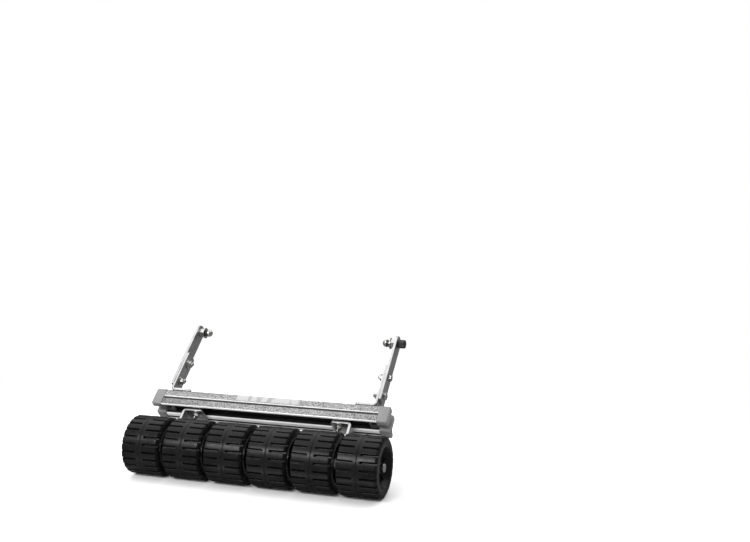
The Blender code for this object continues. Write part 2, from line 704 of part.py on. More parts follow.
def add_bars():
    """The flat bars on the outer side of the bracket legs, with a full round at the mower end."""
    half = ARM_WIDTH / 2
    low, high = ARM_CENTRE_Z - half, ARM_CENTRE_Z + half
    start = BEAM_BACK + BAR_START
    round_end = arc((start + BAR_LENGTH - half, ARM_CENTRE_Z), half, 90, -90, 3 * ARC_STEPS)
    bar = outline_mesh([[(start, low), (start, high), *round_end]], PLATE)
    bar.transform(SECTION)
    bolt_hole = rod_mesh(BOLT_RADIUS + HOLE_GAP, -2 * PLATE, 2 * PLATE)
    stud_hole = rod_mesh(STUD_RADIUS + HOLE_GAP, -2 * PLATE, 2 * PLATE)
    holes = [
        (bolt_hole, at(0, BEAM_BACK + LOWER_BOLT_Y, ARM_CENTRE_Z, ALONG_X)),
        (bolt_hole, at(0, BEAM_BACK + UPPER_BOLT_Y, ARM_CENTRE_Z, ALONG_X)),
        (stud_hole, at(0, STUD_Y, ARM_CENTRE_Z, ALONG_X)),
    ]
    cut = combine(bar, "DIFFERENCE", holes)
    for side in (-1, 1):
        place = at(side * (BAR_INNER + BAR_OUTER) / 2, 0, 0)
        add_object(f"arm_bar_{side_name(side)}", cut, place, PLATE_STEEL)


def add_arm_bolts():
    """Two bolts on each arm, with the heads outside the bar and the nuts inside the bracket."""
    grip = BAR_OUTER - LEG_INNER + 2 * GAP
    length = grip + WASHER_THICKNESS + NUT_THICKNESS + THREAD_BEYOND_NUT
    head = rod_mesh(HEX_ACROSS / math.sqrt(3), -HEAD_THICKNESS, 0, 6)
    bolt = combine(head, "UNION", [(rod_mesh(BOLT_RADIUS, -HEAD_THICKNESS / 2, length), Matrix.Identity(4))])
    nut = washer_nut_mesh()
    for side in (-1, 1):
        inward = ALONG_MINUS_X if side > 0 else ALONG_X
        for level, y in (("lower", LOWER_BOLT_Y), ("upper", UPPER_BOLT_Y)):
            bolt_place = at(side * (BAR_OUTER + GAP), BEAM_BACK + y, ARM_CENTRE_Z, inward)
            nut_place = at(side * (LEG_INNER - GAP), BEAM_BACK + y, ARM_CENTRE_Z, inward)
            add_object(f"arm_bolt_{level}_{side_name(side)}", bolt, bolt_place, ZINC)
            add_object(f"arm_nut_{level}_{side_name(side)}", nut, nut_place, ZINC)


def add_foot_bolts():
    """The bolt through each bracket foot and the nut that slides along the back of the beam."""
    nut_face = BEAM_BACK - LIP - GAP
    nut_half = SLIDE_CAVITY_WIDTH / 2 - RUNNING_GAP
    length = FOOT_TOP + GAP - nut_face + SLIDE_NUT_THICKNESS
    head_profile = [(0, FOOT_HEAD_THICKNESS), (LOW_HEAD_TOP_RADIUS, FOOT_HEAD_THICKNESS)]
    head_profile += [(LOW_HEAD_RADIUS, FOOT_HEAD_THICKNESS / 2), (LOW_HEAD_RADIUS, 0), (BOLT_RADIUS, 0)]
    head_profile += [(BOLT_RADIUS, -length), (0, -length)]
    bolt = turned_mesh(head_profile, SMALL_SEGMENTS)
    block = box_mesh(
        (-SLIDE_NUT_LENGTH / 2, -SLIDE_NUT_THICKNESS, -nut_half), (SLIDE_NUT_LENGTH / 2, 0, nut_half)
    )
    bore = rod_mesh(BOLT_RADIUS + HOLE_GAP, -LOW_HEAD_RADIUS * 2, LOW_HEAD_RADIUS * 2)
    nut = combine(block, "DIFFERENCE", [(bore, ALONG_Y)])
    for side in (-1, 1):
        x = side * (LEG_OUTER - FOOT_BOLT_FROM_LEG)
        bolt_place = at(x, FOOT_TOP + GAP, ARM_CENTRE_Z, ALONG_Y)
        add_object(f"foot_bolt_{side_name(side)}", bolt, bolt_place, ZINC)
        add_object(f"slide_nut_{side_name(side)}", nut, at(x, nut_face, ARM_CENTRE_Z), ZINC)


# Mower studs


def knob_mesh():
    """A ribbed knob with a blind bore, from its open face at height 0 up."""
    steps = 4 * KNOB_RIBS
    ribs = []
    for step in range(steps):
        radius = KNOB_RADIUS if step % 4 < 2 else KNOB_RADIUS - KNOB_RIB_DEPTH
        angle = 2 * math.pi * step / steps
        ribs.append((radius * math.cos(angle), radius * math.sin(angle)))
    body = outline_mesh([ribs], KNOB_LENGTH)
    body.transform(Matrix.Translation((0, 0, KNOB_LENGTH / 2)))
    bore = rod_mesh(STUD_RADIUS + HOLE_GAP, -KNOB_LENGTH, KNOB_LENGTH - KNOB_FLOOR)
    return combine(body, "DIFFERENCE", [(bore, Matrix.Identity(4))])


def stud_meshes():
    """Both studs, from their domed head at height 0: one ends in the knob, one in a low outer head."""
    dome = arc((0, 0), 1, -90, 0, 2 * ARC_STEPS)
    inner = [(STUD_RADIUS, 0), *[(STUD_HEAD_RADIUS * x, STUD_HEAD_LENGTH * y) for x, y in reversed(dome)]]
    tip = BAR_OUTER + KNOB_LENGTH - KNOB_FLOOR - STUD_HEAD_X
    seat = BAR_OUTER + GAP - STUD_HEAD_X
    end = seat + OUTER_HEAD_THICKNESS
    outer_head = [(0, end), (OUTER_HEAD_RADIUS, end), (OUTER_HEAD_RADIUS, seat), (STUD_RADIUS, seat)]
    knobbed = turned_mesh([(0, tip), (STUD_RADIUS, tip), *inner], SMALL_SEGMENTS)
    headed = turned_mesh([*outer_head, *inner], SMALL_SEGMENTS)
    return knobbed, headed


def stud_nut_mesh():
    hexagon = rod_mesh(STUD_NUT_ACROSS / math.sqrt(3), 0, STUD_NUT_LENGTH, 6)
    bore = rod_mesh(STUD_RADIUS + HOLE_GAP, -STUD_NUT_LENGTH, 2 * STUD_NUT_LENGTH)
    return combine(hexagon, "DIFFERENCE", [(bore, Matrix.Identity(4))])


def add_studs():
    """The studs that hook onto the mower, with a knob on the right one only."""
    knobbed, headed = stud_meshes()
    nut = stud_nut_mesh()
    bore = STUD_RADIUS + HOLE_GAP
    washer = tube_mesh(STUD_WASHER_RADIUS, bore, STUD_WASHER_THICKNESS)
    sleeve = tube_mesh(SLEEVE_RADIUS, bore, SLEEVE_LENGTH)
    for side, stud in ((-1, headed), (1, knobbed)):
        name = side_name(side)
        outward = ALONG_X if side > 0 else ALONG_MINUS_X
        place = [at(side * x, STUD_Y, ARM_CENTRE_Z, outward) for x in stud_stack()]
        add_object(f"mower_stud_{name}", stud, place[0], ZINC)
        add_object(f"stud_sleeve_{name}", sleeve, place[1], KNOB_PLASTIC)
        add_object(f"stud_washer_{name}", washer, place[2], ZINC)
        add_object(f"stud_nut_{name}", nut, place[3], ZINC)
    knob_place = at(BAR_OUTER + GAP, STUD_Y, ARM_CENTRE_Z, ALONG_X)
    add_object("stud_knob_right", knob_mesh(), knob_place, KNOB_PLASTIC)


def stud_stack():
    """Where each piece of a stud starts, from the domed head out to the nut inside the bar."""
    sleeve = STUD_HEAD_X + GAP
    washer = sleeve + SLEEVE_LENGTH + GAP
    nut = washer + STUD_WASHER_THICKNESS + GAP
    return STUD_HEAD_X, sleeve, washer, nut


add_drums()
add_axle()
add_axle_sleeves()
add_hangers()
add_beam()
add_end_caps()
add_label()
add_brackets()
add_bars()
add_arm_bolts()
add_foot_bolts()
add_studs()
CUTTERS.hide_render = True
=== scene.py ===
"""The looks of the lawn striping roller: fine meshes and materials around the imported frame."""
import json
import math

import bmesh
import bpy
from mathutils import Matrix, Vector

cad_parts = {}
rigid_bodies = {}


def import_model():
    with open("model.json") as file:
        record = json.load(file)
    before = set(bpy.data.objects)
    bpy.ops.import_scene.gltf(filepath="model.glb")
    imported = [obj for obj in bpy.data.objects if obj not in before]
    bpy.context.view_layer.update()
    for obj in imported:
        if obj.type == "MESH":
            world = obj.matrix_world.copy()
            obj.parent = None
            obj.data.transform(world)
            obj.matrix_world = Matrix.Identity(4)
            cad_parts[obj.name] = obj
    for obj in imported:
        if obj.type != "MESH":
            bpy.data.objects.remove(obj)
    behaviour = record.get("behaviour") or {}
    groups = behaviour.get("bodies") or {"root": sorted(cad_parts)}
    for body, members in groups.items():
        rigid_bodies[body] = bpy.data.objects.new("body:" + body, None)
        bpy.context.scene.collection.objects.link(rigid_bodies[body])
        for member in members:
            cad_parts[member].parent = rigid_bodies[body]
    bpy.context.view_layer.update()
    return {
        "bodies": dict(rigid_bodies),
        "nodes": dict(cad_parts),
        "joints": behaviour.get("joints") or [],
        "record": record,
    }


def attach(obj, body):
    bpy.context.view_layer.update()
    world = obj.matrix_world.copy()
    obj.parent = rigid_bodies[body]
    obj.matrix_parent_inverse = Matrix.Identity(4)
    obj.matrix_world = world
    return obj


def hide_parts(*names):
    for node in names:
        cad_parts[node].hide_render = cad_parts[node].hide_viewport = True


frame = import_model()

RECORD = frame["record"]
JOINTS = {joint["name"]: joint for joint in frame["joints"]}
MOUNTS = {mount["name"]: mount for mount in RECORD["mounts"]}
SIDES = (("left", -1), ("right", 1))
DRUMS = range(1, 1 + sum(name.endswith("_spin") for name in JOINTS))

# The flat frame of the attachment: X along the roller, Y from the axle to the mower, Z square to both.
AXLE = Vector((0, *JOINTS["roller_1_spin"]["pos_m"][1:]))
FACE_NORMAL = Vector(MOUNTS["beam_face"]["axis"])
TILT = math.atan2(-FACE_NORMAL.y, FACE_NORMAL.z)
FLAT = Matrix.Translation(AXLE) @ Matrix.Rotation(TILT, 4, "X")
TO_FLAT = FLAT.inverted()

# Directions in which a piece that is made along Z can point, in the flat frame
ALONG_X = Matrix.Rotation(math.pi / 2, 4, "Y")
ALONG_MINUS_X = Matrix.Rotation(-math.pi / 2, 4, "Y")
ALONG_Y = Matrix.Rotation(-math.pi / 2, 4, "X")
ALONG_MINUS_Y = Matrix.Rotation(math.pi / 2, 4, "X")
# An outline drawn in Y and Z, extruded along X
SECTION = Matrix(((0, 0, 1, 0), (1, 0, 0, 0), (0, 1, 0, 0), (0, 0, 0, 1)))
MM = 0.001


def flat_box(node):
    """Lowest and highest corner of a CAD node in the flat frame."""
    points = [TO_FLAT @ vertex.co for vertex in frame["nodes"][node].data.vertices]
    low = Vector(min(point[axis] for point in points) for axis in range(3))
    high = Vector(max(point[axis] for point in points) for axis in range(3))
    return low, high


def middle(node):
    low, high = flat_box(node)
    return (low + high) / 2


# Mesh tools


def new_mesh(name, vertices, faces):
    mesh = bpy.data.meshes.new(name)
    mesh.from_pydata(vertices, [], faces)
    mesh.update()
    return mesh


def loft(rings, closed=False):
    """Quads between rings of points round Z. The ends are flat or pointed unless the rings are closed."""
    count = len(rings[0])
    vertices = [point for ring in rings for point in ring]
    faces = []
    pairs = [(i, i + 1) for i in range(len(rings) - 1)]
    if closed:
        pairs.append((len(rings) - 1, 0))
    for first, second in pairs:
        for step in range(count):
            after = (step + 1) % count
            faces.append(
                (first * count + step, second * count + step, second * count + after, first * count + after)
            )
    if not closed:
        faces.append(tuple(range(count)))
        last = (len(rings) - 1) * count
        faces.append(tuple(reversed(range(last, last + count))))
    mesh = new_mesh("loft", vertices, faces)
    tidy_normals(mesh)
    return mesh


def tidy_normals(mesh):
    shape = bmesh.new()
    shape.from_mesh(mesh)
    bmesh.ops.remove_doubles(shape, verts=shape.verts, dist=1e-6)
    bmesh.ops.recalc_face_normals(shape, faces=shape.faces)
    shape.to_mesh(mesh)
    shape.free()


def ring(radius, height, count):
    """Points round Z. The radius and the height are numbers, or functions of the angle."""
    points = []
    for step in range(count):
        angle = 2 * math.pi * step / count
        r = radius(angle) if callable(radius) else radius
        z = height(angle) if callable(height) else height
        points.append((r * math.cos(angle), r * math.sin(angle), z))
    return points


def turned(profile, count=64, closed=False):
    """A (radius, height) profile turned about Z. An open profile starts and ends at a small radius."""
    return loft([ring(max(radius, 1e-5), height, count) for radius, height in profile], closed)


def arc(centre, radius, start, end, steps=6):
    """Points of an arc between two angles in degrees."""
    points = []
    for step in range(steps + 1):
        angle = math.radians(start + (end - start) * step / steps)
        points.append((centre[0] + radius * math.cos(angle), centre[1] + radius * math.sin(angle)))
    return points


def extruded(outlines, depth):
    """Flat outlines, the first with the others as holes, extruded to the depth about their plane."""
    curve = bpy.data.curves.new("outline", "CURVE")
    curve.dimensions = "2D"
    curve.fill_mode = "BOTH"
    curve.extrude = depth / 2
    for points in outlines:
        spline = curve.splines.new("POLY")
        spline.points.add(len(points) - 1)
        for point, (x, y) in zip(spline.points, points):
            point.co = (x, y, 0, 1)
        spline.use_cyclic_u = True
    obj = bpy.data.objects.new("outline", curve)
    bpy.context.scene.collection.objects.link(obj)
    mesh = evaluated(obj)
    bpy.data.objects.remove(obj)
    tidy_normals(mesh)
    return mesh


def evaluated(obj):
    bpy.context.view_layer.update()
    return bpy.data.meshes.new_from_object(obj.evaluated_get(bpy.context.evaluated_depsgraph_get()))


def with_modifiers(mesh, *modifiers):
    """The mesh after a list of (kind, settings) modifiers."""
    obj = bpy.data.objects.new("work", mesh)
    bpy.context.scene.collection.objects.link(obj)
    for kind, settings in modifiers:
        modifier = obj.modifiers.new(kind.lower(), kind)
        for key, value in settings.items():
            setattr(modifier, key, value)
    result = evaluated(obj)
    bpy.data.objects.remove(obj)
    return result


def rounded(mesh, width, segments=3, angle=40):
    """The mesh with its sharp edges bevelled."""
    settings = {
        "width": width,
        "segments": segments,
        "limit_method": "ANGLE",
        "angle_limit": math.radians(angle),
        "use_clamp_overlap": True,
    }
    return with_modifiers(mesh, ("BEVEL", settings))


def joined_mesh(parts):
    """One mesh of several (mesh, place) parts that stay separate shells."""
    shape = bmesh.new()
    for mesh, place in parts:
        copy = mesh.copy()
        copy.transform(place)
        shape.from_mesh(copy)
        bpy.data.meshes.remove(copy)
    mesh = bpy.data.meshes.new("joined")
    shape.to_mesh(mesh)
    shape.free()
    return mesh


def cut(mesh, tools, operation="DIFFERENCE"):
    """The mesh after a Boolean with each (mesh, place) tool."""
    helpers = []
    modifiers = []
    for tool, place in tools:
        helper = bpy.data.objects.new("tool", tool)
        bpy.context.scene.collection.objects.link(helper)
        helper.matrix_world = place
        helpers.append(helper)
        modifiers.append(("BOOLEAN", {"operation": operation, "solver": "EXACT", "object": helper}))
    result = with_modifiers(mesh, *modifiers)
    for helper in helpers:
        bpy.data.objects.remove(helper)
    return result


def cylinder(radius, low, high, count=48):
    return loft([ring(radius, low, count), ring(radius, high, count)])


def at(x, y, z, turn=Matrix.Identity(4)):
    return Matrix.Translation((x, y, z)) @ turn


def piece(name, mesh, place, material, node, body, smooth_angle=35, also=()):
    """A visible piece that stands for CAD nodes. Its mesh is put in place in the row's own axes."""
    mesh = mesh.copy()
    mesh.name = name
    mesh.transform(FLAT @ place)
    mesh.shade_smooth()
    mesh.set_sharp_from_angle(angle=math.radians(smooth_angle))
    obj = bpy.data.objects.new(name, mesh)
    bpy.context.scene.collection.objects.link(obj)
    mesh.materials.clear()
    mesh.materials.append(material)
    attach(obj, body)
    if node:
        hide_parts(node, *also)
    return obj


# Materials


class Nodes:
    """A short way to wire a Principled material."""

    def __init__(self, name):
        self.material = bpy.data.materials.new(name)
        self.material.use_nodes = True
        self.tree = self.material.node_tree
        self.shader = self.tree.nodes["Principled BSDF"]
        self.coordinates = self.tree.nodes.new("ShaderNodeTexCoord").outputs["Object"]

    def link(self, source, target):
        self.tree.links.new(source, target)

    def stretched(self, scale):
        mapping = self.tree.nodes.new("ShaderNodeMapping")
        mapping.inputs["Scale"].default_value = scale
        self.link(self.coordinates, mapping.inputs["Vector"])
        return mapping.outputs["Vector"]

    def noise(self, scale, detail=3, roughness=0.5, vector=None):
        node = self.tree.nodes.new("ShaderNodeTexNoise")
        node.inputs["Scale"].default_value = scale
        node.inputs["Detail"].default_value = detail
        node.inputs["Roughness"].default_value = roughness
        self.link(vector or self.coordinates, node.inputs["Vector"])
        return node.outputs["Fac"]

    def ramp(self, source, stops):
        """Stops are (position, value or colour)."""
        node = self.tree.nodes.new("ShaderNodeValToRGB")
        elements = node.color_ramp.elements
        while len(elements) < len(stops):
            elements.new(0.5)
        for element, (position, value) in zip(elements, stops):
            element.position = position
            element.color = (*value, 1) if isinstance(value, tuple) else (value, value, value, 1)
        self.link(source, node.inputs["Fac"])
        return node.outputs["Color"]

    def mix(self, kind, factor, first, second):
        node = self.tree.nodes.new("ShaderNodeMix")
        node.data_type = "RGBA"
        node.blend_type = kind
        if isinstance(factor, (int, float)):
            node.inputs["Factor"].default_value = factor
        else:
            self.link(factor, node.inputs["Factor"])
        for source, socket in ((first, node.inputs[6]), (second, node.inputs[7])):
            if isinstance(source, tuple):
                socket.default_value = (*source, 1)
            else:
                self.link(source, socket)
        return node.outputs[2]

    def bump(self, height, strength, distance, after=None):
        node = self.tree.nodes.new("ShaderNodeBump")
        node.inputs["Strength"].default_value = strength
        node.inputs["Distance"].default_value = distance
        self.link(height, node.inputs["Height"])
        if after:
            self.link(after, node.inputs["Normal"])
        return node.outputs["Normal"]

    def finish(self, colour=None, roughness=None, normal=None, **fixed):
        for name, source in (("Base Color", colour), ("Roughness", roughness), ("Normal", normal)):
            if source is not None:
                self.link(source, self.shader.inputs[name])
        for name, value in fixed.items():
            self.shader.inputs[name.replace("_", " ")].default_value = value
        return self.material


def drum_plastic():
    """Moulded black polyethylene: a satin skin with fine grain, scuffs and a trace of dust."""
    n = Nodes("drum_black_plastic")
    cloud = n.ramp(n.noise(26, 4, 0.6), [(0.3, (0.0035, 0.0035, 0.0035)), (0.75, (0.008, 0.008, 0.008))])
    scuff_mask = n.ramp(n.noise(70, 6, 0.7, n.stretched((0.5, 1, 1))), [(0.62, 0.0), (0.78, 0.4)])
    colour = n.mix("MIX", scuff_mask, cloud, (0.02, 0.02, 0.02))
    rough = n.ramp(n.noise(140, 5, 0.65), [(0.3, 0.24), (0.7, 0.36)])
    grain = n.noise(1500, 2, 0.5)
    swell = n.noise(90, 3, 0.5)
    normal = n.bump(swell, 0.25, 0.0006, n.bump(grain, 0.12, 0.0002))
    return n.finish(colour, rough, normal, Metallic=0.0, Specular_IOR_Level=0.15)


def grey_plastic():
    """Moulded grey cap plastic with a light spark-eroded grain."""
    n = Nodes("cap_grey_plastic")
    colour = n.ramp(n.noise(60, 4, 0.6), [(0.3, (0.15, 0.15, 0.153)), (0.7, (0.185, 0.185, 0.188))])
    rough = n.ramp(n.noise(200, 3), [(0.3, 0.42), (0.7, 0.56)])
    normal = n.bump(n.noise(2200, 2), 0.18, 0.0002, n.bump(n.noise(120, 3), 0.1, 0.0004))
    return n.finish(colour, rough, normal, Metallic=0.0, Specular_IOR_Level=0.45)


def knob_plastic():
    n = Nodes("knob_black_plastic")
    colour = n.ramp(n.noise(120, 4), [(0.3, (0.009, 0.009, 0.009)), (0.7, (0.02, 0.02, 0.02))])
    rough = n.ramp(n.noise(300, 3), [(0.3, 0.38), (0.7, 0.52)])
    normal = n.bump(n.noise(2500, 2), 0.15, 0.0002)
    return n.finish(colour, rough, normal, Metallic=0.0)


def bush_plastic():
    n = Nodes("bush_nylon")
    colour = n.ramp(n.noise(150, 3), [(0.3, (0.5, 0.49, 0.45)), (0.7, (0.6, 0.59, 0.55))])
    rough = n.ramp(n.noise(400, 3), [(0.3, 0.38), (0.7, 0.5)])
    normal = n.bump(n.noise(900, 2), 0.1, 0.0002)
    return n.finish(colour, rough, normal, Metallic=0.0)


def blasted_aluminium():
    """Sand-blasted and anodised aluminium: a fine speckle, drawn out a little along Y."""
    n = Nodes("blasted_aluminium")
    grain = n.noise(760, 1, 0.5, n.stretched((1, 0.45, 1)))
    speckle = n.ramp(grain, [(0.4, (0.09, 0.09, 0.09)), (0.6, (0.56, 0.56, 0.56))])
    cloud = n.ramp(n.noise(45, 3), [(0.3, (0.94, 0.94, 0.94)), (0.7, (1.0, 1.0, 1.0))])
    colour = n.mix("MULTIPLY", 1.0, speckle, cloud)
    rough = n.ramp(n.noise(900, 3, 0.6), [(0.3, 0.42), (0.7, 0.62)])
    normal = n.bump(n.noise(700, 4, 0.7), 0.5, 0.0004)
    return n.finish(colour, rough, normal, Metallic=1.0)


def extruded_aluminium(name, dark, light, metallic):
    """Extruded aluminium with die lines that run along X. The pale copy is hardly metallic: its near-white
    tone is painted light on the front lips and the groove walls.
    """
    n = Nodes(name)
    lines = n.noise(900, 4, 0.6, n.stretched((0.01, 1, 1)))
    colour = n.ramp(lines, [(0.3, (dark, dark, dark)), (0.7, (light, light, light))])
    rough = n.ramp(n.noise(500, 3, 0.6, n.stretched((0.02, 1, 1))), [(0.3, 0.22), (0.7, 0.36)])
    normal = n.bump(lines, 0.05, 0.0002)
    return n.finish(colour, rough, normal, Metallic=metallic)


def channel_painted_shade():
    """The inside of the channel and the groove floors: painted shade, near-black aluminium with lines along
    X.
    """
    n = Nodes("channel_painted_shade")
    lines = n.noise(700, 4, 0.6, n.stretched((0.01, 1, 1)))
    colour = n.ramp(lines, [(0.3, (0.02, 0.02, 0.02)), (0.7, (0.05, 0.05, 0.05))])
    rough = n.ramp(n.noise(500, 3, 0.6, n.stretched((0.02, 1, 1))), [(0.3, 0.4), (0.7, 0.6)])
    normal = n.bump(lines, 0.2, 0.0002)
    return n.finish(colour, rough, normal, Metallic=0.6)


def plate_steel():
    """Zinc-plated plate: faint rolling grain, cloudy plating and small handling scratches."""
    n = Nodes("plated_steel")
    cloud = n.ramp(n.noise(55, 5, 0.6), [(0.3, (0.46, 0.46, 0.465)), (0.7, (0.58, 0.58, 0.585))])
    scratch = n.ramp(n.noise(420, 4, 0.7, n.stretched((1, 0.06, 0.5))), [(0.6, 0.0), (0.72, 0.18)])
    colour = n.mix("MIX", scratch, cloud, (0.7, 0.7, 0.7))
    rough = n.ramp(n.noise(160, 4, 0.6), [(0.3, 0.26), (0.7, 0.42)])
    normal = n.bump(n.noise(700, 3), 0.1, 0.0002)
    return n.finish(colour, rough, normal, Metallic=1.0)


def zinc():
    """Bright zinc on turned and formed fasteners."""
    n = Nodes("bright_zinc")
    colour = n.ramp(n.noise(240, 4, 0.6), [(0.3, (0.42, 0.42, 0.41)), (0.7, (0.66, 0.66, 0.65))])
    rough = n.ramp(n.noise(350, 4, 0.6), [(0.3, 0.18), (0.7, 0.34)])
    normal = n.bump(n.noise(1300, 3), 0.12, 0.0002)
    return n.finish(colour, rough, normal, Metallic=1.0)


def label_film():
    """Pale film with plain grey print blocks, and no lettering."""
    n = Nodes("label_film")
    block = n.noise(130, 2, 0.5, n.stretched((1, 0.25, 0.25)))
    print_mask = n.ramp(block, [(0.56, 0.0), (0.6, 0.55)])
    colour = n.mix("MIX", print_mask, (0.36, 0.36, 0.36), (0.16, 0.16, 0.16))
    rough = n.ramp(n.noise(300, 3), [(0.3, 0.34), (0.7, 0.48)])
    normal = n.bump(n.noise(900, 2), 0.08, 0.0002)
    return n.finish(colour, rough, normal, Metallic=0.0)


DRUM_PLASTIC = drum_plastic()
CAP_PLASTIC = grey_plastic()
KNOB_PLASTIC = knob_plastic()
BUSH_PLASTIC = bush_plastic()
BLASTED = blasted_aluminium()
# Painted light: a near-white, hardly metallic copy of the extrusion, lighter than the metal behind, for the
# front faces and the groove walls
LIP_PAINTED_LIGHT = extruded_aluminium("lip_painted_light", 0.82, 0.93, 0.15)
EXTRUDED = extruded_aluminium("extruded_aluminium", 0.42, 0.55, 1.0)
STEEL = plate_steel()
ZINC = zinc()
FILM = label_film()
# Painted shade: near-black aluminium for the recesses of the beam, where shade falls
CHANNEL_PAINTED_SHADE = channel_painted_shade()


# Roller drums

DRUM_LOW, DRUM_HIGH = flat_box("drum_1")
DRUM_RADIUS = 58 * MM
DRUM_HALF = (DRUM_HIGH.x - DRUM_LOW.x) / 2
RIM_RADIUS = DRUM_RADIUS - 5.2 * MM
RECESS_RADIUS = 39 * MM
RECESS_DEPTH = 14 * MM
HUB_RADIUS = 14 * MM
HUB_INSET = 10 * MM
BUSH_RADIUS = (flat_box("drum_bush_1")[1] - flat_box("drum_bush_1")[0]).z / 2
SLOTS = 24
SLOT_DEPTH = 6.5 * MM


def slot_angles():
    """Lines round a drum, as (slot's angle, place across it in radians, share of the slot's depth)."""
    edges = [(-3.1, 0), (-2.45, 0), (-2.2, 0.03), (-2.0, 0.16), (-1.75, 0.86), (-1.5, 0.97), (-0.8, 1)]
    edges += [(-place, share) for place, share in reversed(edges)]
    pitch = 2 * math.pi / SLOTS
    lines = []
    for slot in range(SLOTS):
        for place, share in edges:
            lines.append((slot * pitch, place * MM / DRUM_RADIUS, share))
        for step in (0.36, 0.5, 0.64):
            lines.append(((slot + step) * pitch, 0, 0))
    return lines


def slot_spread(place):
    """How much wider a slot is at a place along the drum: it flares towards the drum's end."""
    share = min(max((abs(place) - 24 * MM) / (14 * MM), 0), 1)
    return 1 + 0.32 * share * share


def drum_lines():
    """Rings along the outer side, as (place along the axis, radius, share of the slot's depth)."""
    lines = [(0, DRUM_RADIUS, 0), (0.25, DRUM_RADIUS + 0.35 * MM, 0), (0.5, DRUM_RADIUS + 0.42 * MM, 0)]
    lines += [(0.8, DRUM_RADIUS + 0.3 * MM, 0), (1.1, DRUM_RADIUS - 0.05 * MM, 0), (1.5, DRUM_RADIUS, 0)]
    lines += [(4, DRUM_RADIUS, 0), (7.4, DRUM_RADIUS, 0), (7.8, DRUM_RADIUS, 0.05), (8.0, DRUM_RADIUS, 0.3)]
    lines += [(8.25, DRUM_RADIUS, 0.85), (8.7, DRUM_RADIUS, 1), (14, DRUM_RADIUS, 1), (22, DRUM_RADIUS, 1)]
    lines += [(30, DRUM_RADIUS, 1), (35.8, DRUM_RADIUS, 1), (36.5, DRUM_RADIUS - 0.12 * MM, 1)]
    lines += [(37.0, DRUM_RADIUS - 0.45 * MM, 1), (37.4, DRUM_RADIUS - 1.0 * MM, 1)]
    lines += [(38.0, DRUM_RADIUS - 2.1 * MM, 1), (38.9, DRUM_RADIUS - 3.7 * MM, 1)]
    lines += [(39.5, RIM_RADIUS + 0.3 * MM, 1), (39.8, RIM_RADIUS - 0.3 * MM, 1)]
    return [(place * MM, radius, share) for place, radius, share in lines]


def drum_mesh():
    """Rings of points from the bore, over the face and the tread, and back to the bore."""
    angles = slot_angles()

    def tread_ring(place, radius, share):
        spread = slot_spread(place)
        points = []
        for slot, across, slot_share in angles:
            angle = slot + across * spread
            floor = DRUM_RADIUS - SLOT_DEPTH * slot_share * share
            r = min(radius, floor) if slot_share * share > 0 else radius
            points.append((r * math.cos(angle), r * math.sin(angle), place))
        return points

    def plain_ring(radius, place):
        spread = slot_spread(place)
        turns = [slot + across * spread for slot, across, _ in angles]
        return [(radius * math.cos(angle), radius * math.sin(angle), place) for angle in turns]

    floor = DRUM_HALF - RECESS_DEPTH
    hub_end = DRUM_HALF - HUB_INSET
    bore = BUSH_RADIUS + 0.15 * MM
    edge = 0.6 * MM
    face = [(bore, hub_end), (HUB_RADIUS - edge, hub_end), (HUB_RADIUS, hub_end - edge)]
    face += [(HUB_RADIUS + 0.5 * MM, floor + 2 * MM), (HUB_RADIUS + 2.5 * MM, floor)]
    face += [(RECESS_RADIUS - 3 * MM, floor), (RECESS_RADIUS - 0.8 * MM, floor + 2 * MM)]
    face += [(RECESS_RADIUS, DRUM_HALF - edge), (RECESS_RADIUS + edge, DRUM_HALF)]
    face += [(RIM_RADIUS - 1.8 * MM, DRUM_HALF)]
    upper = [plain_ring(radius, place) for radius, place in face]
    lower = [plain_ring(radius, -place) for radius, place in reversed(face)]
    lines = drum_lines()
    rows = [tread_ring(place, radius, share) for place, radius, share in reversed(lines)]
    rows += [tread_ring(-place, radius, share) for place, radius, share in lines[1:]]
    return loft(upper + rows + lower, closed=True)


def drum_web_mesh():
    """Radial ribs in both recesses of a drum."""
    floor = DRUM_HALF - RECESS_DEPTH
    low = (HUB_RADIUS - 0.5 * MM, -1.1 * MM, floor - 1 * MM)
    high = (RECESS_RADIUS + 0.5 * MM, 1.1 * MM, DRUM_HALF - HUB_INSET - 0.6 * MM)
    rib = box(low, high)
    mirrored = Matrix.Diagonal((1, 1, -1, 1))
    parts = []
    for step in range(6):
        turn = Matrix.Rotation(math.pi / 3 * step, 4, "Z")
        parts += [(rib, turn), (rib, turn @ mirrored)]
    mesh = joined_mesh(parts)
    tidy_normals(mesh)
    return mesh


def box(low, high):
    low, high = Vector(low), Vector(high)
    mesh = bpy.data.meshes.new("box")
    shape = bmesh.new()
    place = Matrix.Translation((low + high) / 2) @ Matrix.Diagonal((*(high - low), 1))
    bmesh.ops.create_cube(shape, size=1, matrix=place)
    shape.to_mesh(mesh)
    shape.free()
    return mesh


def sleeve(outer, bore, length, edge=0.4 * MM):
    """A ring about Z from height 0, with its edges eased."""
    profile = [(bore, edge), (bore + edge, 0), (outer - edge, 0), (outer, edge)]
    profile += [(outer, length - edge), (outer - edge, length), (bore + edge, length), (bore, length - edge)]
    return turned(profile, closed=True)


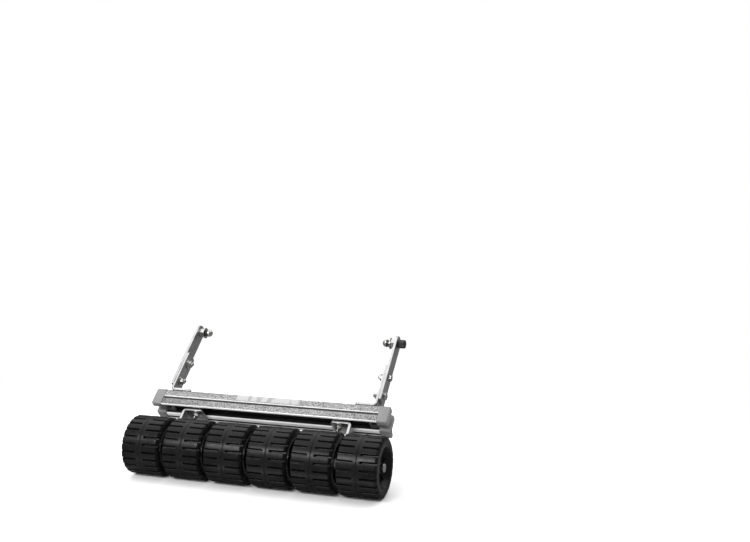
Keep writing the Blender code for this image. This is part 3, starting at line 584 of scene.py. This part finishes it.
def add_roller():
    drum = joined_mesh([(drum_mesh(), Matrix.Identity(4)), (drum_web_mesh(), Matrix.Identity(4))])
    low, high = flat_box("drum_bush_1")
    bush = sleeve((high.z - low.z) / 2, AXLE_RADIUS + 0.1 * MM, high.x - low.x, 0.5 * MM)
    for number in DRUMS:
        centre = middle(f"drum_{number}")
        turn = Matrix.Rotation(math.radians(DRUM_PHASES[number - 1]), 4, "Z")
        body = f"roller_{number}"
        place = at(centre.x, 0, 0, ALONG_X @ turn)
        piece(f"roller_drum_{number}", drum, place, DRUM_PLASTIC, f"drum_{number}", body, 50)
        start = flat_box(f"drum_bush_{number}")[0].x
        bush_place = at(start, 0, 0, ALONG_X)
        node = f"drum_bush_{number}"
        piece(f"roller_bush_{number}", bush, bush_place, BUSH_PLASTIC, node, body)


AXLE_RADIUS = (flat_box("axle")[1] - flat_box("axle")[0]).z / 2
DRUM_PHASES = (2.4, 1.0, -0.9, -9.5, -9.5, -4.3)


def add_axle():
    low, high = flat_box("axle")
    edge = 0.8 * MM
    profile = [(0, low.x), (AXLE_RADIUS - edge, low.x), (AXLE_RADIUS, low.x + edge)]
    profile += [(AXLE_RADIUS, high.x - edge), (AXLE_RADIUS - edge, high.x), (0, high.x)]
    piece("axle_rod", turned(profile), at(0, 0, 0, ALONG_X), ZINC, "axle", "frame")
    for side, sign in SIDES:
        low, high = flat_box(f"axle_cap_{side}")
        radius = (high.z - low.z) / 2
        length = high.x - low.x
        dome = arc((radius - 2.2 * MM, length - 2.2 * MM), 2.2 * MM, 0, 90)
        profile = [(AXLE_RADIUS + 0.1 * MM, 0.2 * MM), (radius - 0.5 * MM, 0), (radius, 0.5 * MM), *dome]
        profile += [(radius - 4.5 * MM, length), (radius - 5 * MM, length - 0.7 * MM), (0, length - 0.7 * MM)]
        inner = length - 3 * MM
        profile = [(0, inner), (AXLE_RADIUS + 0.1 * MM, inner), *profile]
        start = low.x if sign > 0 else high.x
        turn = ALONG_X if sign > 0 else ALONG_MINUS_X
        name = f"axle_cap_{side}"
        piece(f"axle_end_{side}", turned(profile), at(start, 0, 0, turn), ZINC, name, "frame")
    for name, node, material, slot in (
        [(f"hub_spacer_{i}", f"axle_spacer_{i}", ZINC, "zinc") for i in (1, 2, 3)]
        + [(f"hanger_sleeve_{s}", f"hanger_bush_{s}", BUSH_PLASTIC, "bush_plastic") for s, _ in SIDES]
    ):
        low, high = flat_box(node)
        mesh = sleeve((high.z - low.z) / 2, AXLE_RADIUS + 0.1 * MM, high.x - low.x)
        piece(name, mesh, at(low.x, 0, 0, ALONG_X), material, node, "frame")


# Fasteners


def thread_rings(radius, low, high, pitch=1.25 * MM):
    """Zigzag rings that stand for a thread."""
    rings = []
    turns = max(1, round((high - low) / pitch))
    step = (high - low) / turns
    for turn in range(turns):
        start = low + turn * step
        rings += [(radius - 0.45 * MM, start), (radius, start + 0.4 * step), (radius, start + 0.6 * step)]
    rings.append((radius - 0.45 * MM, high))
    return rings


def hexagon(across):
    """The radius of a hexagon at an angle, with slightly rounded corners."""
    half = across / 2

    def radius(angle):
        within = (angle + math.pi / 6) % (math.pi / 3) - math.pi / 6
        return min(half / math.cos(within), half * 1.135)

    return radius


def hex_body(across, low, high, bore=None, chamfer_low=True, chamfer_high=True, count=96):
    """A nut or bolt head about Z, with its corners chamfered by a cone at the ends."""
    outer = hexagon(across)
    flat = across / 2 * 0.97
    slope = math.tan(math.radians(30))

    def top(angle):
        return high - (outer(angle) - flat) * slope

    def bottom(angle):
        return low + (outer(angle) - flat) * slope

    rings = []
    if bore:
        rings.append(ring(bore, low + 0.5 * MM, count))
        rings.append(ring(bore + 0.6 * MM, low, count))
    else:
        rings.append(ring(1e-5, low, count))
    if chamfer_low:
        rings.append(ring(flat, low, count))
        rings.append(ring(outer, bottom, count))
    else:
        rings.append(ring(outer, low, count))
    if chamfer_high:
        rings.append(ring(outer, top, count))
        rings.append(ring(flat, high, count))
    else:
        rings.append(ring(outer, high, count))
    if bore:
        rings.append(ring(bore + 0.6 * MM, high, count))
        rings.append(ring(bore, high - 0.5 * MM, count))
        return loft(rings, closed=True)
    rings.append(ring(1e-5, high, count))
    return loft(rings)


def washer(radius, bore, thickness):
    return sleeve(radius, bore, thickness, 0.35 * MM)


BOLT_RADIUS = 4 * MM
WASHER_THICKNESS = 1.6 * MM
HEX_ACROSS = 13 * MM


def threaded_shank(radius, length, plain):
    """A shank from height 0, plain at first and threaded to its tip."""
    profile = [(0, 0), (radius, 0), (radius, plain)]
    profile += thread_rings(radius, plain + 0.2 * MM, length - 0.8 * MM)
    profile += [(radius - 0.9 * MM, length), (0, length)]
    return turned(profile, 40)


def nut_on_washer(name, node, place, body):
    """The nut and the washer that a CAD nut node stands for, made from height 0 up."""
    low, high = flat_box(node)
    height = min(high[i] - low[i] for i in range(3))
    nut = hex_body(HEX_ACROSS, WASHER_THICKNESS + 0.02 * MM, height, BOLT_RADIUS + 0.05 * MM)
    disc = washer(max(high[i] - low[i] for i in range(3)) / 2, BOLT_RADIUS + 0.3 * MM, WASHER_THICKNESS)
    piece(f"{name}_nut", nut, place, ZINC, node, body, 28)
    piece(f"{name}_washer", disc, place, ZINC, None, body)


# Bent plates and bars

PLATE = (flat_box("arm_bar_right")[1] - flat_box("arm_bar_right")[0]).x
BEND_RADIUS = 3 * MM
BEND_STEPS = 10


def angle_outline(leg_outer, leg_end, foot_face, foot_end, foot_back):
    """The bent edge of an angle plate, its leg on the side of leg_outer and its foot reaching foot_end."""
    outward = 1 if leg_outer > foot_end else -1
    upward = 1 if leg_end > foot_face else -1
    thickness = abs(foot_face - foot_back)
    radius = BEND_RADIUS + thickness
    centre = (leg_outer - outward * radius, foot_back + upward * radius)

    def bend(r, steps):
        return [(centre[0] + outward * r * math.cos(a), centre[1] - upward * r * math.sin(a)) for a in steps]

    quarter = [math.pi / 2 * step / BEND_STEPS for step in range(BEND_STEPS + 1)]
    leg_inner = leg_outer - outward * thickness
    outer = bend(radius, reversed(quarter))
    inner = bend(BEND_RADIUS, quarter)
    leg = [(leg_outer, leg_end), (leg_inner, leg_end)]
    return [(foot_end, foot_back), *outer, *leg, *inner, (foot_end, foot_face)]


def bent_plate(edge, faces, low_z, high_z, holes):
    """An angle plate: its bent edge extruded, trimmed to the outlines of its faces, drilled and eased."""
    strip = extruded([edge], 2 * (high_z - low_z))
    strip.transform(Matrix.Translation((0, 0, (low_z + high_z) / 2)))
    trimmed = cut(strip, faces, "INTERSECT")
    drilled = cut(trimmed, holes)
    return rounded(drilled, 0.45 * MM, 2, 50)


def add_hangers():
    for side, sign in SIDES:
        low, high = flat_box(f"hanger_{side}")
        leg_outer = high.x if sign > 0 else low.x
        foot_end = low.x if sign > 0 else high.x
        foot_back = high.y
        foot_face = foot_back - PLATE
        half = (high.z - low.z) / 2
        bolt = middle(f"hanger_nut_{side}")
        edge = angle_outline(leg_outer, low.y - half, foot_face, foot_end, foot_back)
        face = [(high.y + half, -half), (high.y + half, half), *arc((0, 0), half, 90, 270, 32)]
        leg_middle = leg_outer - sign * PLATE / 2
        corner = 4 * MM
        inner = foot_end + sign * corner
        far = leg_outer + sign * half
        plan = [(far, half), (far, -half)]
        plan += arc((inner, -half + corner), corner, -90, -90 - sign * 90)
        plan += arc((inner, half - corner), corner, 90 + sign * 90, 90)
        over_foot = Matrix.Rotation(math.pi / 2, 4, "X")
        mesh = bent_plate(
            edge,
            [(extruded([face], 1), SECTION), (extruded([plan], 1), over_foot)],
            -half,
            half,
            [
                (cylinder(BUSH_RADIUS + 0.2 * MM, -half, half), at(leg_middle, 0, 0, ALONG_X)),
                (cylinder(BOLT_RADIUS + 0.3 * MM, -half, half), at(bolt.x, foot_face, bolt.z, ALONG_Y)),
            ],
        )
        piece(f"hanger_plate_{side}", mesh, at(0, 0, 0), STEEL, f"hanger_{side}", "frame")
        add_hanger_bolt(side, bolt)


def add_hanger_bolt(side, centre):
    node = f"hanger_bolt_{side}"
    low, high = flat_box(node)
    head_face = flat_box("beam")[0].y + 3.3 * MM
    head = rounded(box((low.x, head_face, low.z), (high.x, high.y, high.z)), 0.6 * MM)
    shank = threaded_shank(BOLT_RADIUS, head_face - low.y, 4 * MM)
    place = at(centre.x, head_face, centre.z, ALONG_MINUS_Y)
    mesh = joined_mesh([(head, Matrix.Identity(4)), (shank, place)])
    piece(f"hanger_tee_bolt_{side}", mesh, at(0, 0, 0), ZINC, node, "frame", 28)
    nut_high = flat_box(f"hanger_nut_{side}")[1]
    nut_place = at(centre.x, nut_high.y, centre.z, ALONG_MINUS_Y)
    nut_on_washer(f"hanger_{side}", f"hanger_nut_{side}", nut_place, "frame")


def add_brackets():
    for side, sign in SIDES:
        body = f"arm_{side}"
        low, high = flat_box(f"upper_bracket_{side}")
        leg_outer = high.x if sign > 0 else low.x
        foot_end = low.x if sign > 0 else high.x
        foot_bolt = middle(f"foot_bolt_{side}")
        edge = angle_outline(leg_outer, high.y + PLATE, low.y + PLATE, foot_end, low.y)
        corner = 4 * MM
        face = [(low.y - PLATE, low.z), (low.y - PLATE, high.z)]
        face += arc((high.y - corner, high.z - corner), corner, 90, 0)
        face += arc((high.y - corner, low.z + corner), corner, 0, -90)
        leg_middle = leg_outer - sign * PLATE / 2
        hole = cylinder(BOLT_RADIUS + 0.3 * MM, -3 * PLATE, 3 * PLATE)
        holes = [(hole, at(foot_bolt.x, low.y, foot_bolt.z, ALONG_Y))]
        for level in ("lower", "upper"):
            bolt = middle(f"arm_bolt_{level}_{side}")
            holes.append((hole, at(leg_middle, bolt.y, bolt.z, ALONG_X)))
        mesh = bent_plate(edge, [(extruded([face], 1), SECTION)], low.z, high.z, holes)
        piece(f"bracket_{side}", mesh, at(0, 0, 0), STEEL, f"upper_bracket_{side}", body)


def add_bars():
    for side, _ in SIDES:
        body = f"arm_{side}"
        low, high = flat_box(f"arm_bar_{side}")
        half = (high.z - low.z) / 2
        centre_z = (high.z + low.z) / 2
        corner = 1.5 * MM
        outline = arc((low.y + corner, low.z + corner), corner, 270, 180)
        outline += arc((low.y + corner, high.z - corner), corner, 180, 90)
        outline += arc((high.y - half, centre_z), half, 90, -90, 36)
        bar = extruded([outline], high.x - low.x)
        bar.transform(SECTION)
        hole = cylinder(BOLT_RADIUS + 0.3 * MM, -2 * PLATE, 2 * PLATE)
        wide_hole = cylinder(STUD_RADIUS + 0.3 * MM, -2 * PLATE, 2 * PLATE)
        holes = [(wide_hole, at(0, middle(f"stud_nut_{side}").y, centre_z, ALONG_X))]
        for level in ("lower", "upper"):
            holes.append((hole, at(0, middle(f"arm_bolt_{level}_{side}").y, centre_z, ALONG_X)))
        mesh = rounded(cut(bar, holes), 0.45 * MM, 2, 50)
        place = at((low.x + high.x) / 2, 0, 0)
        piece(f"flat_bar_{side}", mesh, place, STEEL, f"arm_bar_{side}", body)


STUD_RADIUS = 5 * MM
STUD_HEAD_RADIUS = 8 * MM
STUD_HEAD_LENGTH = 8.7 * MM


def add_arm_bolts():
    for side, sign in SIDES:
        body = f"arm_{side}"
        inward = ALONG_MINUS_X if sign > 0 else ALONG_X
        bar_outer = flat_box(f"arm_bar_{side}")[1].x if sign > 0 else flat_box(f"arm_bar_{side}")[0].x
        for level in ("lower", "upper"):
            node = f"arm_bolt_{level}_{side}"
            low, high = flat_box(node)
            centre = middle(node)
            head_top = high.x if sign > 0 else low.x
            seat = bar_outer + sign * 0.3 * MM
            thickness = abs(head_top - seat)
            tip = low.x if sign > 0 else high.x
            head = hex_body(HEX_ACROSS, -thickness, 0, chamfer_high=False)
            shank = threaded_shank(BOLT_RADIUS, abs(seat - tip), 9 * MM)
            mesh = joined_mesh([(head, Matrix.Identity(4)), (shank, Matrix.Identity(4))])
            turn = Matrix.Rotation(math.radians(17 if level == "lower" else 41), 4, "Z")
            place = at(seat, centre.y, centre.z, inward @ turn)
            piece(f"hex_bolt_{level}_{side}", mesh, place, ZINC, node, body, 28)
            nut = f"arm_nut_{level}_{side}"
            nut_seat = flat_box(nut)[1].x if sign > 0 else flat_box(nut)[0].x
            nut_on_washer(f"arm_{level}_{side}", nut, at(nut_seat, centre.y, centre.z, inward @ turn), body)


def add_foot_bolts():
    for side, _ in SIDES:
        body = f"arm_{side}"
        node = f"foot_bolt_{side}"
        low, high = flat_box(node)
        centre = middle(node)
        seat = flat_box(f"upper_bracket_{side}")[0].y + PLATE + 0.3 * MM
        head_radius = (high.x - low.x) / 2
        thickness = high.y - seat
        dome = [(head_radius * math.cos(a), thickness * math.sin(a)) for a in (0.35, 0.7, 1.0, 1.25)]
        profile = [(0, 0), (head_radius - 0.3 * MM, 0), (head_radius, 0.3 * MM), *dome]
        profile += [(2.3 * MM, thickness), (2.1 * MM, thickness - 1.2 * MM), (0, thickness - 1.2 * MM)]
        head = turned(profile)
        shank = threaded_shank(BOLT_RADIUS, seat - low.y, 3 * MM)
        flip = Matrix.Rotation(math.pi, 4, "X")
        mesh = joined_mesh([(head, Matrix.Identity(4)), (shank, flip)])
        place = at(centre.x, seat, centre.z, ALONG_Y)
        piece(f"button_bolt_{side}", mesh, place, ZINC, node, body)
        low, high = flat_box(f"slide_nut_{side}")
        block = box(low, high)
        bore = cylinder(BOLT_RADIUS + 0.2 * MM, -head_radius, head_radius)
        drilled = cut(block, [(bore, at(centre.x, (low.y + high.y) / 2, centre.z, ALONG_Y))])
        mesh = rounded(drilled, 0.5 * MM, 2, 50)
        piece(f"tee_nut_{side}", mesh, at(0, 0, 0), ZINC, f"slide_nut_{side}", body)


# Beam


def beam_outline(low, high):
    """The outer edge of the section in Y and Z, with the front channel, the slide and the foot below."""
    front, back, foot, top = low.y, high.y, low.z, high.z
    slot_middle = middle("foot_bolt_right").z
    lip = 3 * MM
    slot_half, cavity_half, cavity = 4.5 * MM, 8.5 * MM, 6.5 * MM
    groove_back = back - 15 * MM
    groove_front = groove_back - 6.6 * MM
    channel_top, channel_bottom, channel_depth = 24 * MM, -5 * MM, 13 * MM
    under = channel_bottom - 8 * MM
    low_groove = foot + 7 * MM
    high_groove = low_groove + 6 * MM
    floor = front + channel_depth
    corner = 2.0 * MM
    return [
        *arc((front + corner, foot + corner), corner, 180, 270, 4),
        *arc((front + 8 * MM - corner, foot + corner), corner, 270, 360, 4),
        (front + 8 * MM, under),
        (back, under),
        (back, slot_middle - slot_half),
        (back - lip, slot_middle - slot_half),
        (back - lip, slot_middle - cavity_half),
        (back - lip - cavity, slot_middle - cavity_half),
        (back - lip - cavity, slot_middle + cavity_half),
        (back - lip, slot_middle + cavity_half),
        (back - lip, slot_middle + slot_half),
        (back, slot_middle + slot_half),
        *arc((back - corner, top - corner), corner, 0, 90, 4),
        (groove_back, top),
        (groove_back - 0.7 * MM, top - 2 * MM),
        (groove_front + 1 * MM, top - 2 * MM),
        (groove_front, top),
        *arc((front + corner, top - corner), corner, 90, 180, 4),
        (front, channel_top),
        (front + lip, channel_top),
        (front + lip, channel_top + 2 * MM),
        (floor, channel_top + 2 * MM),
        (floor, channel_bottom - 4 * MM),
        (front + lip, channel_bottom - 4 * MM),
        (front + lip, channel_bottom),
        (front, channel_bottom),
        (front, high_groove),
        (front + 2 * MM, high_groove - 1 * MM),
        (front + 2 * MM, low_groove + 1 * MM),
        (front, low_groove),
    ]


def add_beam():
    """The beam: blasted broad face, painted shade in the channel and the grooves, painted light on the pale
    front and the groove walls, plain metal behind.
    """
    low, high = flat_box("beam")
    wall = 2.5 * MM
    under = -13 * MM
    cells = [
        (low.y + 15.5 * MM, high.y - 12 * MM, under + wall, high.z - 2 * wall),
        (high.y - 9.5 * MM, high.y - wall, under + wall, 3.5 * MM),
    ]
    holes = [[(a, c), (a, d), (b, d), (b, c)] for a, b, c, d in cells]
    mesh = rounded(extruded([beam_outline(low, high), *holes], high.x - low.x), 0.35 * MM, 2, 24)
    mesh.transform(SECTION)
    obj = piece("beam_extrusion", mesh, at(0, 0, 0), EXTRUDED, "beam", "frame", 25)
    blasted, dark, pale = 1, 2, 3
    for material in (BLASTED, CHANNEL_PAINTED_SHADE, LIP_PAINTED_LIGHT):
        obj.data.materials.append(material)
    to_flat = TO_FLAT.to_3x3()
    for polygon in obj.data.polygons:
        centre = TO_FLAT @ polygon.center
        normal = to_flat @ polygon.normal
        in_channel = low.y + 2 * MM < centre.y < low.y + 13.5 * MM and -9.5 * MM < centre.z < 26.5 * MM
        in_face_groove = centre.z > high.z - 2.5 * MM and high.y - 22 * MM < centre.y < high.y - 14 * MM
        in_front_groove = (
            low.y + 0.35 * MM < centre.y < low.y + 2.5 * MM
            and low.z + 6.8 * MM < centre.z < low.z + 13.2 * MM
        )
        if normal.z > 0.9 and centre.z > high.z - 0.4 * MM:
            polygon.material_index = blasted
        # Painted shade: the channel, the front groove and the floor of the face groove get the near-black
        # aluminium
        elif in_front_groove or (normal.z > 0.9 if in_face_groove else in_channel):
            polygon.material_index = dark
        # Painted light: the front faces and the walls of the face groove get the near-white copy
        elif normal.y < 0.2 or in_face_groove:
            polygon.material_index = pale
    label_low, label_high = flat_box("label_plate")
    label = rounded(box(label_low, label_high), 0.2 * MM, 2)
    piece("label_strip", label, at(0, 0, 0), FILM, "label_plate", "frame")


CAP_ROUNDING = 4 * MM
WEB_INSET = 6 * MM
MOUTH_DEPTH = 10 * MM
MOUTH_LOW, MOUTH_HIGH = -1 * MM, 15.5 * MM


def cap_outline(low, high):
    """The outer edge of a cap in Y and Z: a mouth at the front, and a foot below it."""
    mouth = low.y + MOUTH_DEPTH
    foot_back = low.y + 10 * MM
    under = -14 * MM
    outline = [(low.y, low.z), (foot_back, low.z), (foot_back, under), (high.y, under), (high.y, high.z)]
    outline += [(low.y, high.z), (low.y, MOUTH_HIGH), (mouth, MOUTH_HIGH), (mouth, MOUTH_LOW)]
    return [*outline, (low.y, MOUTH_LOW)]


def add_end_caps():
    """Moulded caps with rounded lobes above and below a web that is set in."""
    beam_low, beam_high = flat_box("beam")
    for side, sign in SIDES:
        low, high = flat_box(f"end_cap_{side}")
        outer = high.x if sign > 0 else -low.x
        inner = beam_high.x + 0.3 * MM
        length = outer - inner
        body = extruded([cap_outline(low, high)], length + 2 * CAP_ROUNDING)
        body.transform(at(0, 0, outer - length / 2 - CAP_ROUNDING))
        body = rounded(body, CAP_ROUNDING, 6, 50)
        far = 2 * high.y
        inner_end = box((-far, -far, -far), (far, far, inner))
        notch_low = (-far, MOUTH_LOW - 0.5 * MM, outer - WEB_INSET)
        notch = rounded(box(notch_low, (far, MOUTH_HIGH + 0.5 * MM, outer + far)), 2 * MM, 4)
        body = cut(body, [(inner_end, Matrix.Identity(4)), (notch, Matrix.Identity(4))])
        body = rounded(body, 0.4 * MM, 2, 50)
        mouth = low.y + MOUTH_DEPTH
        floor = beam_low.y + 13 * MM - 0.3 * MM
        tongue = box(
            (mouth - 1.2 * MM, -7.8 * MM, inner - 20.3 * MM), (floor, 24.8 * MM, inner + length / 2)
        )
        screw = middle(f"end_cap_screw_{side}")
        hole = cylinder(3.2 * MM, -20 * MM, 20 * MM)
        tongue = cut(rounded(tongue, 0.5 * MM, 2), [(hole, at(floor, screw.z, abs(screw.x), ALONG_X))])
        mesh = joined_mesh([(body, Matrix.Identity(4)), (tongue, Matrix.Identity(4))])
        mesh.transform(Matrix.Diagonal((sign, 1, 1, 1)) @ SECTION)
        if sign < 0:
            mesh.flip_normals()
        name = f"end_cap_{side}"
        piece(f"moulded_cap_{side}", mesh, at(0, 0, 0), CAP_PLASTIC, name, "frame", 40)
        add_cap_screw(side, screw)


def add_cap_screw(side, centre):
    node = f"end_cap_screw_{side}"
    low, high = flat_box(node)
    radius = (high.x - low.x) / 2
    length = high.y - low.y
    profile = [(0, 1 * MM), (1.8 * MM, 1 * MM), (2.1 * MM, 0.1 * MM), (radius - 1 * MM, 0)]
    profile += [(radius, 0.9 * MM), (radius, 3 * MM), (3 * MM, 3 * MM), (3 * MM, length), (0, length)]
    place = at(centre.x, low.y, centre.z, ALONG_Y)
    piece(f"cap_screw_{side}", turned(profile), place, KNOB_PLASTIC, node, "frame")


# Mower studs


def knob_rings(radius, length, bore, floor):
    """Rings of a ribbed knob about Z, from its bore over the ribs to its closed end."""
    ribs = 20

    def ribbed(angle):
        wave = 0.5 + 0.5 * math.cos(ribs * angle)
        return radius - 0.9 * MM * (1 - wave**0.5)

    def smaller(share):
        return lambda angle: ribbed(angle) * share

    count = 160
    depth = length - floor
    rings = [ring(1e-5, depth, count), ring(bore, depth, count), ring(bore, 0.4 * MM, count)]
    rings += [ring(bore + 0.4 * MM, 0, count), ring(radius * 0.86, 0, count)]
    rings += [ring(radius * 0.9, 0.8 * MM, count)]
    rings += [ring(smaller(0.985), 1.6 * MM, count), ring(ribbed, 2.2 * MM, count)]
    rings += [ring(ribbed, length - 2.2 * MM, count), ring(smaller(0.98), length - 1.2 * MM, count)]
    rings += [ring(smaller(0.92), length - 0.4 * MM, count), ring(radius * 0.8, length, count)]
    rings += [ring(radius * 0.55, length, count), ring(radius * 0.5, length - 0.5 * MM, count)]
    rings += [ring(1e-5, length - 0.5 * MM, count)]
    return rings


def add_studs():
    for side, sign in SIDES:
        arm = f"arm_{side}"
        body = f"stud_{side}" if f"stud_{side}" in frame["bodies"] else arm
        outward = ALONG_X if sign > 0 else ALONG_MINUS_X
        centre = middle(f"stud_nut_{side}")

        def place(node):
            low, high = flat_box(node)
            return at(low.x if sign > 0 else high.x, centre.y, centre.z, outward)

        def size(node):
            low, high = flat_box(node)
            return high.x - low.x, (high.z - low.z) / 2

        node = f"mower_stud_{side}"
        piece(f"domed_stud_{side}", stud_mesh(node, side), place(node), ZINC, node, body)

        node = f"stud_sleeve_{side}"
        length, radius = size(node)
        mesh = sleeve(radius, STUD_RADIUS + 0.1 * MM, length, 0.8 * MM)
        piece(f"neck_sleeve_{side}", mesh, place(node), KNOB_PLASTIC, node, body)

        node = f"stud_washer_{side}"
        length, radius = size(node)
        mesh = washer(radius, STUD_RADIUS + 0.1 * MM, length)
        piece(f"wide_washer_{side}", mesh, place(node), ZINC, node, arm)

        node = f"stud_nut_{side}"
        length, _ = size(node)
        mesh = hex_body(17 * MM, 0, length, STUD_RADIUS + 0.1 * MM)
        piece(f"lock_nut_{side}", mesh, place(node), ZINC, node, arm, 28)

    node = "stud_knob_right"
    length, radius = size(node)
    mesh = loft(knob_rings(radius, length, STUD_RADIUS + 0.1 * MM, 3 * MM))
    piece("ribbed_knob_right", mesh, place(node), KNOB_PLASTIC, node, body, 40)


def stud_mesh(node, side):
    """A stud from its domed inner head: the right one ends in its knob, the left one in a low head."""
    low, high = flat_box(node)
    length = high.x - low.x
    radius = STUD_HEAD_RADIUS
    angles = [i * math.pi / 24 for i in range(13)]
    profile = [(radius * math.sin(a), STUD_HEAD_LENGTH * (1 - math.cos(a))) for a in angles]
    under_head = STUD_HEAD_LENGTH + 0.3 * MM
    profile += [(radius - 0.3 * MM, under_head), (STUD_RADIUS, under_head)]
    thread_end = length - (1 * MM if side == "right" else 8 * MM)
    profile += thread_rings(STUD_RADIUS, STUD_HEAD_LENGTH + 1 * MM, thread_end, pitch=1.5 * MM)
    if side == "right":
        profile += [(STUD_RADIUS - 1 * MM, length), (0, length)]
    else:
        seat = length - 2 * MM
        profile += [(STUD_RADIUS, thread_end + 0.1 * MM), (STUD_RADIUS, seat), (radius - 0.3 * MM, seat)]
        profile += [(radius, seat + 0.3 * MM), (radius - 0.2 * MM, seat + 1.2 * MM)]
        profile += [(radius - 1.6 * MM, length), (0, length)]
    return turned(profile)


# Stage, light and camera


# Each pair: what the camera and diffuse light see, and the dimmer value that glossy reflections see
FLOOR_TONE = (0.93, 0.16)
FLOOR_WHITE = (1.0, 0.2)
BACKDROP_STRENGTH, ROOM_STRENGTH = 1.0, 0.24
FLOOR_HALF = 40
FLOOR_POLISH, POLISH_ROUGHNESS = 0.16, 0.05
FLOOR_FADE = (0.5, 1.2)
# Place and aim from the axle in metres, size in metres and power in watts
LIGHTS = {
    "overhead": ((-0.2, 0.62, 1.7), (0, 0.2, 0), (3.2, 2.6), 38),
    "key": ((-0.55, -1.75, 1.35), (0, 0, 0), (1.5, 0.4), 42),
}
CAMERA_AZIMUTH, CAMERA_ELEVATION = 17.77, 5.59
LENS, SENSOR_WIDTH = 43.89, 36
# From the axle, in drum radii
CAMERA_PLACE = (12.965, -27.281, 9.141)


def glossy_switch(tree, ray, values, target):
    """Set an input to the first value, or to the second for glossy rays."""
    switch = tree.nodes.new("ShaderNodeMapRange")
    switch.inputs["To Min"].default_value, switch.inputs["To Max"].default_value = values
    tree.links.new(ray.outputs["Is Glossy Ray"], switch.inputs["Value"])
    tree.links.new(switch.outputs["Result"], target)


def add_floor():
    """A pale floor with a faint polish, dimmer to glossy rays, which fades to white away from the object."""
    z = AXLE.z - DRUM_RADIUS
    corners = [(x * FLOOR_HALF, y * FLOOR_HALF, z) for x, y in ((-1, -1), (1, -1), (1, 1), (-1, 1))]
    mesh = new_mesh("floor", corners, [(0, 1, 2, 3)])
    material = bpy.data.materials.new("pale_floor")
    material.use_nodes = True
    tree = material.node_tree
    tree.nodes.clear()
    diffuse = tree.nodes.new("ShaderNodeBsdfDiffuse")
    gloss = tree.nodes.new("ShaderNodeBsdfGlossy")
    gloss.inputs["Roughness"].default_value = POLISH_ROUGHNESS
    polish = tree.nodes.new("ShaderNodeMixShader")
    polish.inputs["Fac"].default_value = FLOOR_POLISH
    white = tree.nodes.new("ShaderNodeEmission")
    ray = tree.nodes.new("ShaderNodeLightPath")
    glossy_switch(tree, ray, FLOOR_WHITE, white.inputs["Strength"])
    glossy_switch(tree, ray, FLOOR_TONE, diffuse.inputs["Color"])
    place = tree.nodes.new("ShaderNodeTexCoord")
    distance = tree.nodes.new("ShaderNodeVectorMath")
    distance.operation = "LENGTH"
    fade = tree.nodes.new("ShaderNodeMapRange")
    fade.inputs["From Min"].default_value, fade.inputs["From Max"].default_value = FLOOR_FADE
    blend = tree.nodes.new("ShaderNodeMixShader")
    output = tree.nodes.new("ShaderNodeOutputMaterial")
    for source, target in (
        (diffuse.outputs[0], polish.inputs[1]),
        (gloss.outputs[0], polish.inputs[2]),
        (place.outputs["Object"], distance.inputs[0]),
        (distance.outputs["Value"], fade.inputs["Value"]),
        (fade.outputs["Result"], blend.inputs[0]),
        (polish.outputs[0], blend.inputs[1]),
        (white.outputs[0], blend.inputs[2]),
        (blend.outputs[0], output.inputs["Surface"]),
    ):
        tree.links.new(source, target)
    mesh.materials.append(material)
    obj = bpy.data.objects.new("floor", mesh)
    bpy.context.scene.collection.objects.link(obj)


def add_light(name, location, target, size, power):
    data = bpy.data.lights.new(name, "AREA")
    data.shape = "RECTANGLE"
    data.size, data.size_y = size
    data.energy = power
    obj = bpy.data.objects.new(name, data)
    obj.location = location
    obj.rotation_mode = "QUATERNION"
    direction = Vector(target) - Vector(location)
    obj.rotation_quaternion = direction.to_track_quat("-Z", "Y")
    bpy.context.scene.collection.objects.link(obj)


def add_lights():
    """A white backdrop, dimmer to glossy rays, a broad soft light overhead and a key from the front left."""
    world = bpy.data.worlds.new("studio")
    world.use_nodes = True
    tree = world.node_tree
    room = tree.nodes["Background"]
    room.inputs["Color"].default_value = (1, 1, 1, 1)
    room.inputs["Strength"].default_value = ROOM_STRENGTH
    backdrop = tree.nodes.new("ShaderNodeBackground")
    backdrop.inputs["Color"].default_value = (1, 1, 1, 1)
    backdrop.inputs["Strength"].default_value = BACKDROP_STRENGTH
    ray = tree.nodes.new("ShaderNodeLightPath")
    mix = tree.nodes.new("ShaderNodeMixShader")
    tree.links.new(ray.outputs["Is Glossy Ray"], mix.inputs[0])
    tree.links.new(backdrop.outputs[0], mix.inputs[1])
    tree.links.new(room.outputs[0], mix.inputs[2])
    tree.links.new(mix.outputs[0], tree.nodes["World Output"].inputs["Surface"])
    bpy.context.scene.world = world
    for name, (place, aim, size, power) in LIGHTS.items():
        add_light(name, AXLE + Vector(place), AXLE + Vector(aim), size, power)


def add_camera():
    """A long view from the front right, a little above the beam."""
    azimuth, elevation = math.radians(CAMERA_AZIMUTH), math.radians(CAMERA_ELEVATION)
    level = math.cos(elevation)
    back = Vector((math.sin(azimuth) * level, -math.cos(azimuth) * level, math.sin(elevation)))
    data = bpy.data.cameras.new("camera")
    data.lens = LENS
    data.sensor_width = SENSOR_WIDTH
    obj = bpy.data.objects.new("camera", data)
    obj.location = AXLE + DRUM_RADIUS * Vector(CAMERA_PLACE)
    obj.rotation_mode = "QUATERNION"
    obj.rotation_quaternion = (-back).to_track_quat("-Z", "Y")
    bpy.context.scene.collection.objects.link(obj)
    bpy.context.scene.camera = obj
    bpy.context.scene.view_settings.view_transform = "Standard"


add_roller()
add_axle()
add_hangers()
add_beam()
add_end_caps()
add_brackets()
add_bars()
add_arm_bolts()
add_foot_bolts()
add_studs()
add_floor()
add_lights()
add_camera()
